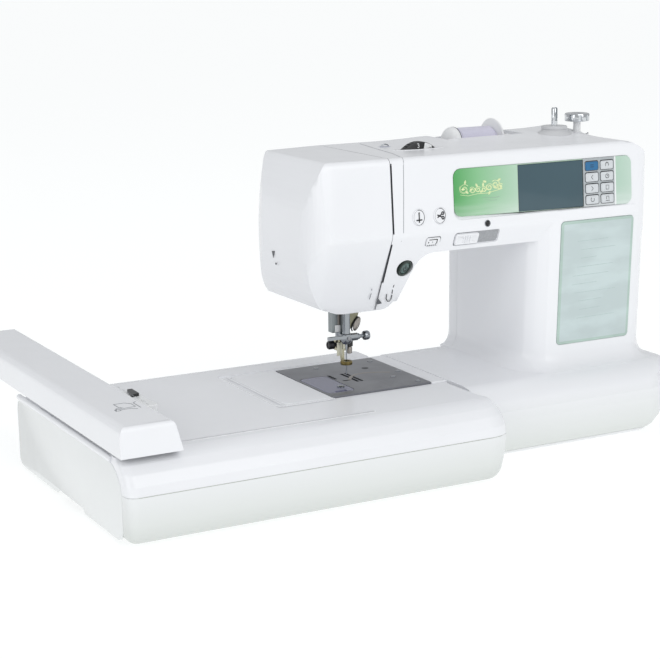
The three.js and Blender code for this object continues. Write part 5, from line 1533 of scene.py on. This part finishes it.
class BuildBack(bpy.types.Operator):
    """Builds the handwheel, the mains parts, the drive and the fixings"""

    bl_idname = "machine.back"
    bl_label = "Drive and back"

    def execute(self, context):
        ease = context.scene.machine_sizes.easing
        reskin("handwheel", "shell", "drive_shaft", "white")
        reskin("power_switch", "black", "switch", "black_moulding", ease=ease)
        reskin("power_inlet", "black", "machine", "black_moulding")
        reskin_all(
            ("main_shaft", "shaft", "drive_shaft", "plate_steel"),
            ("lower_shaft", "shaft", "lower_drive", "plate_steel"),
            ("timing_belt", "rubber", "machine", "belt_rubber"),
            ("drive_motor", "shaft", "machine", "plate_steel"),
            ("chassis_frame", "alloy", "machine", "cast_alloy"),
            ("connecting_rod", "alloy", "needle_carrier", "cast_alloy"),
            ("take_up_lever", "chrome", "take_up", "chrome"),
            ("x_guide_rod", "shaft", "embroidery_unit", "plate_steel"),
        )
        self.fixings()
        return {"FINISHED"}

    def fixings(self):
        screws = []
        for x, z in ((40, 250), (40, 205), (240, 250), (270, 100), (180, 100), (120, 40), (290, 40)):
            head = turned([(3.6, -1.2), (3.6, -0.3), (3.0, 0.3), (1.0, 0.4), (0.3, 0.0)], 28)
            y = 84.0 if z < 60 else 82.0
            screws.append(settle(head, facing("y", x, y, z)))
        done(joined(screws), "rear_screws", "shaft", "machine", "plate_steel")


CAMERA = (-714.88, -1283.31, 442.94)
CAMERA_AIM = (-16.3, 0, 117.5)
CAMERA_ROLL = -0.6  # degrees
LENS = 92.37  # millimetres
ROOM = 0.58  # strength of the room's even light
# Each lamp's name, place in metres, width in metres and power in watts.
LAMPS = (
    ("key_softbox", (0.25, -2.4, 1.6), 2.2, 25),
    ("side_softbox", (-2.4, -0.7, 0.9), 1.6, 11),
    ("top_softbox", (0.1, 0.3, 2.4), 1.8, 6),
)


class BuildStage(bpy.types.Operator):
    """Builds the studio: a plain pale floor, soft lights and the camera"""

    bl_idname = "machine.stage"
    bl_label = "Studio"

    def execute(self, context):
        scene = context.scene
        scene.view_settings.view_transform = "Standard"
        bpy.ops.mesh.primitive_plane_add(size=40, location=(0, 0, 0))
        floor = context.object
        floor.name = "studio_floor"
        material, tree, bsdf = begin(
            "studio_floor", Roughness=0.9, Specular_IOR_Level=0.2, Emission_Strength=0.8
        )
        bsdf.inputs["Emission Color"].default_value = tuple(scene.machine_colours.floor)
        breathe(tree, linear("#959797"), 0.01, 400)
        floor.data.materials.append(material)
        world = bpy.data.worlds.new("soft_room")
        scene.world = world
        world.use_nodes = True
        sky = world.node_tree.nodes["Background"]
        sky.inputs["Color"].default_value = linear("#F7F9FB")
        sky.inputs["Strength"].default_value = ROOM
        for name, place, size, power in LAMPS:
            bpy.ops.object.light_add(type="AREA", location=place)
            lamp = context.object
            lamp.name = name
            lamp.data.size = size
            lamp.data.energy = power
            aim = Vector((0, 0, 0.12)) - Vector(place)
            lamp.rotation_euler = aim.to_track_quat("-Z", "Y").to_euler()
        bpy.ops.object.camera_add(location=at(*CAMERA))
        camera = context.object
        aim = (at(*CAMERA_AIM) - camera.location).to_track_quat("-Z", "Y").to_matrix()
        roll = Matrix.Rotation(math.radians(CAMERA_ROLL), 3, "Z")
        camera.rotation_euler = (aim @ roll).to_euler()
        camera.data.lens = LENS
        camera.data.sensor_width = 36
        camera.data.clip_end = 100
        scene.camera = camera
        return {"FINISHED"}


class MachinePanel(bpy.types.Panel):
    """Lists the machine's sizes, colours and building steps"""

    bl_idname = "VIEW3D_PT_machine"
    bl_label = "Embroidery machine"
    bl_space_type = "VIEW_3D"
    bl_region_type = "UI"
    bl_category = "Machine"

    def draw(self, context):
        for group in (context.scene.machine_sizes, context.scene.machine_colours):
            for name in group.__annotations__:
                self.layout.prop(group, name)
        for step in STEPS:
            self.layout.operator(step.bl_idname)


STEPS = (
    BuildStage,
    BuildHousing,
    BuildControls,
    BuildPanel,
    BuildThreadSupply,
    BuildNeedleWorks,
    BuildBed,
    BuildUnit,
    BuildBack,
)
CLASSES = (MachineColours, MachineSizes, *STEPS, MachinePanel)


def register():
    for item in CLASSES:
        bpy.utils.register_class(item)
    bpy.types.Scene.machine_colours = bpy.props.PointerProperty(type=MachineColours)
    bpy.types.Scene.machine_sizes = bpy.props.PointerProperty(type=MachineSizes)


def unregister():
    del bpy.types.Scene.machine_sizes
    del bpy.types.Scene.machine_colours
    for item in reversed(CLASSES):
        bpy.utils.unregister_class(item)


def main():
    """Builds every piece in order."""
    register()
    make_finishes(bpy.context.scene.machine_colours)
    for step in STEPS:
        group, name = step.bl_idname.split(".")
        getattr(getattr(bpy.ops, group), name)()


if __name__ == "__main__":
    main()
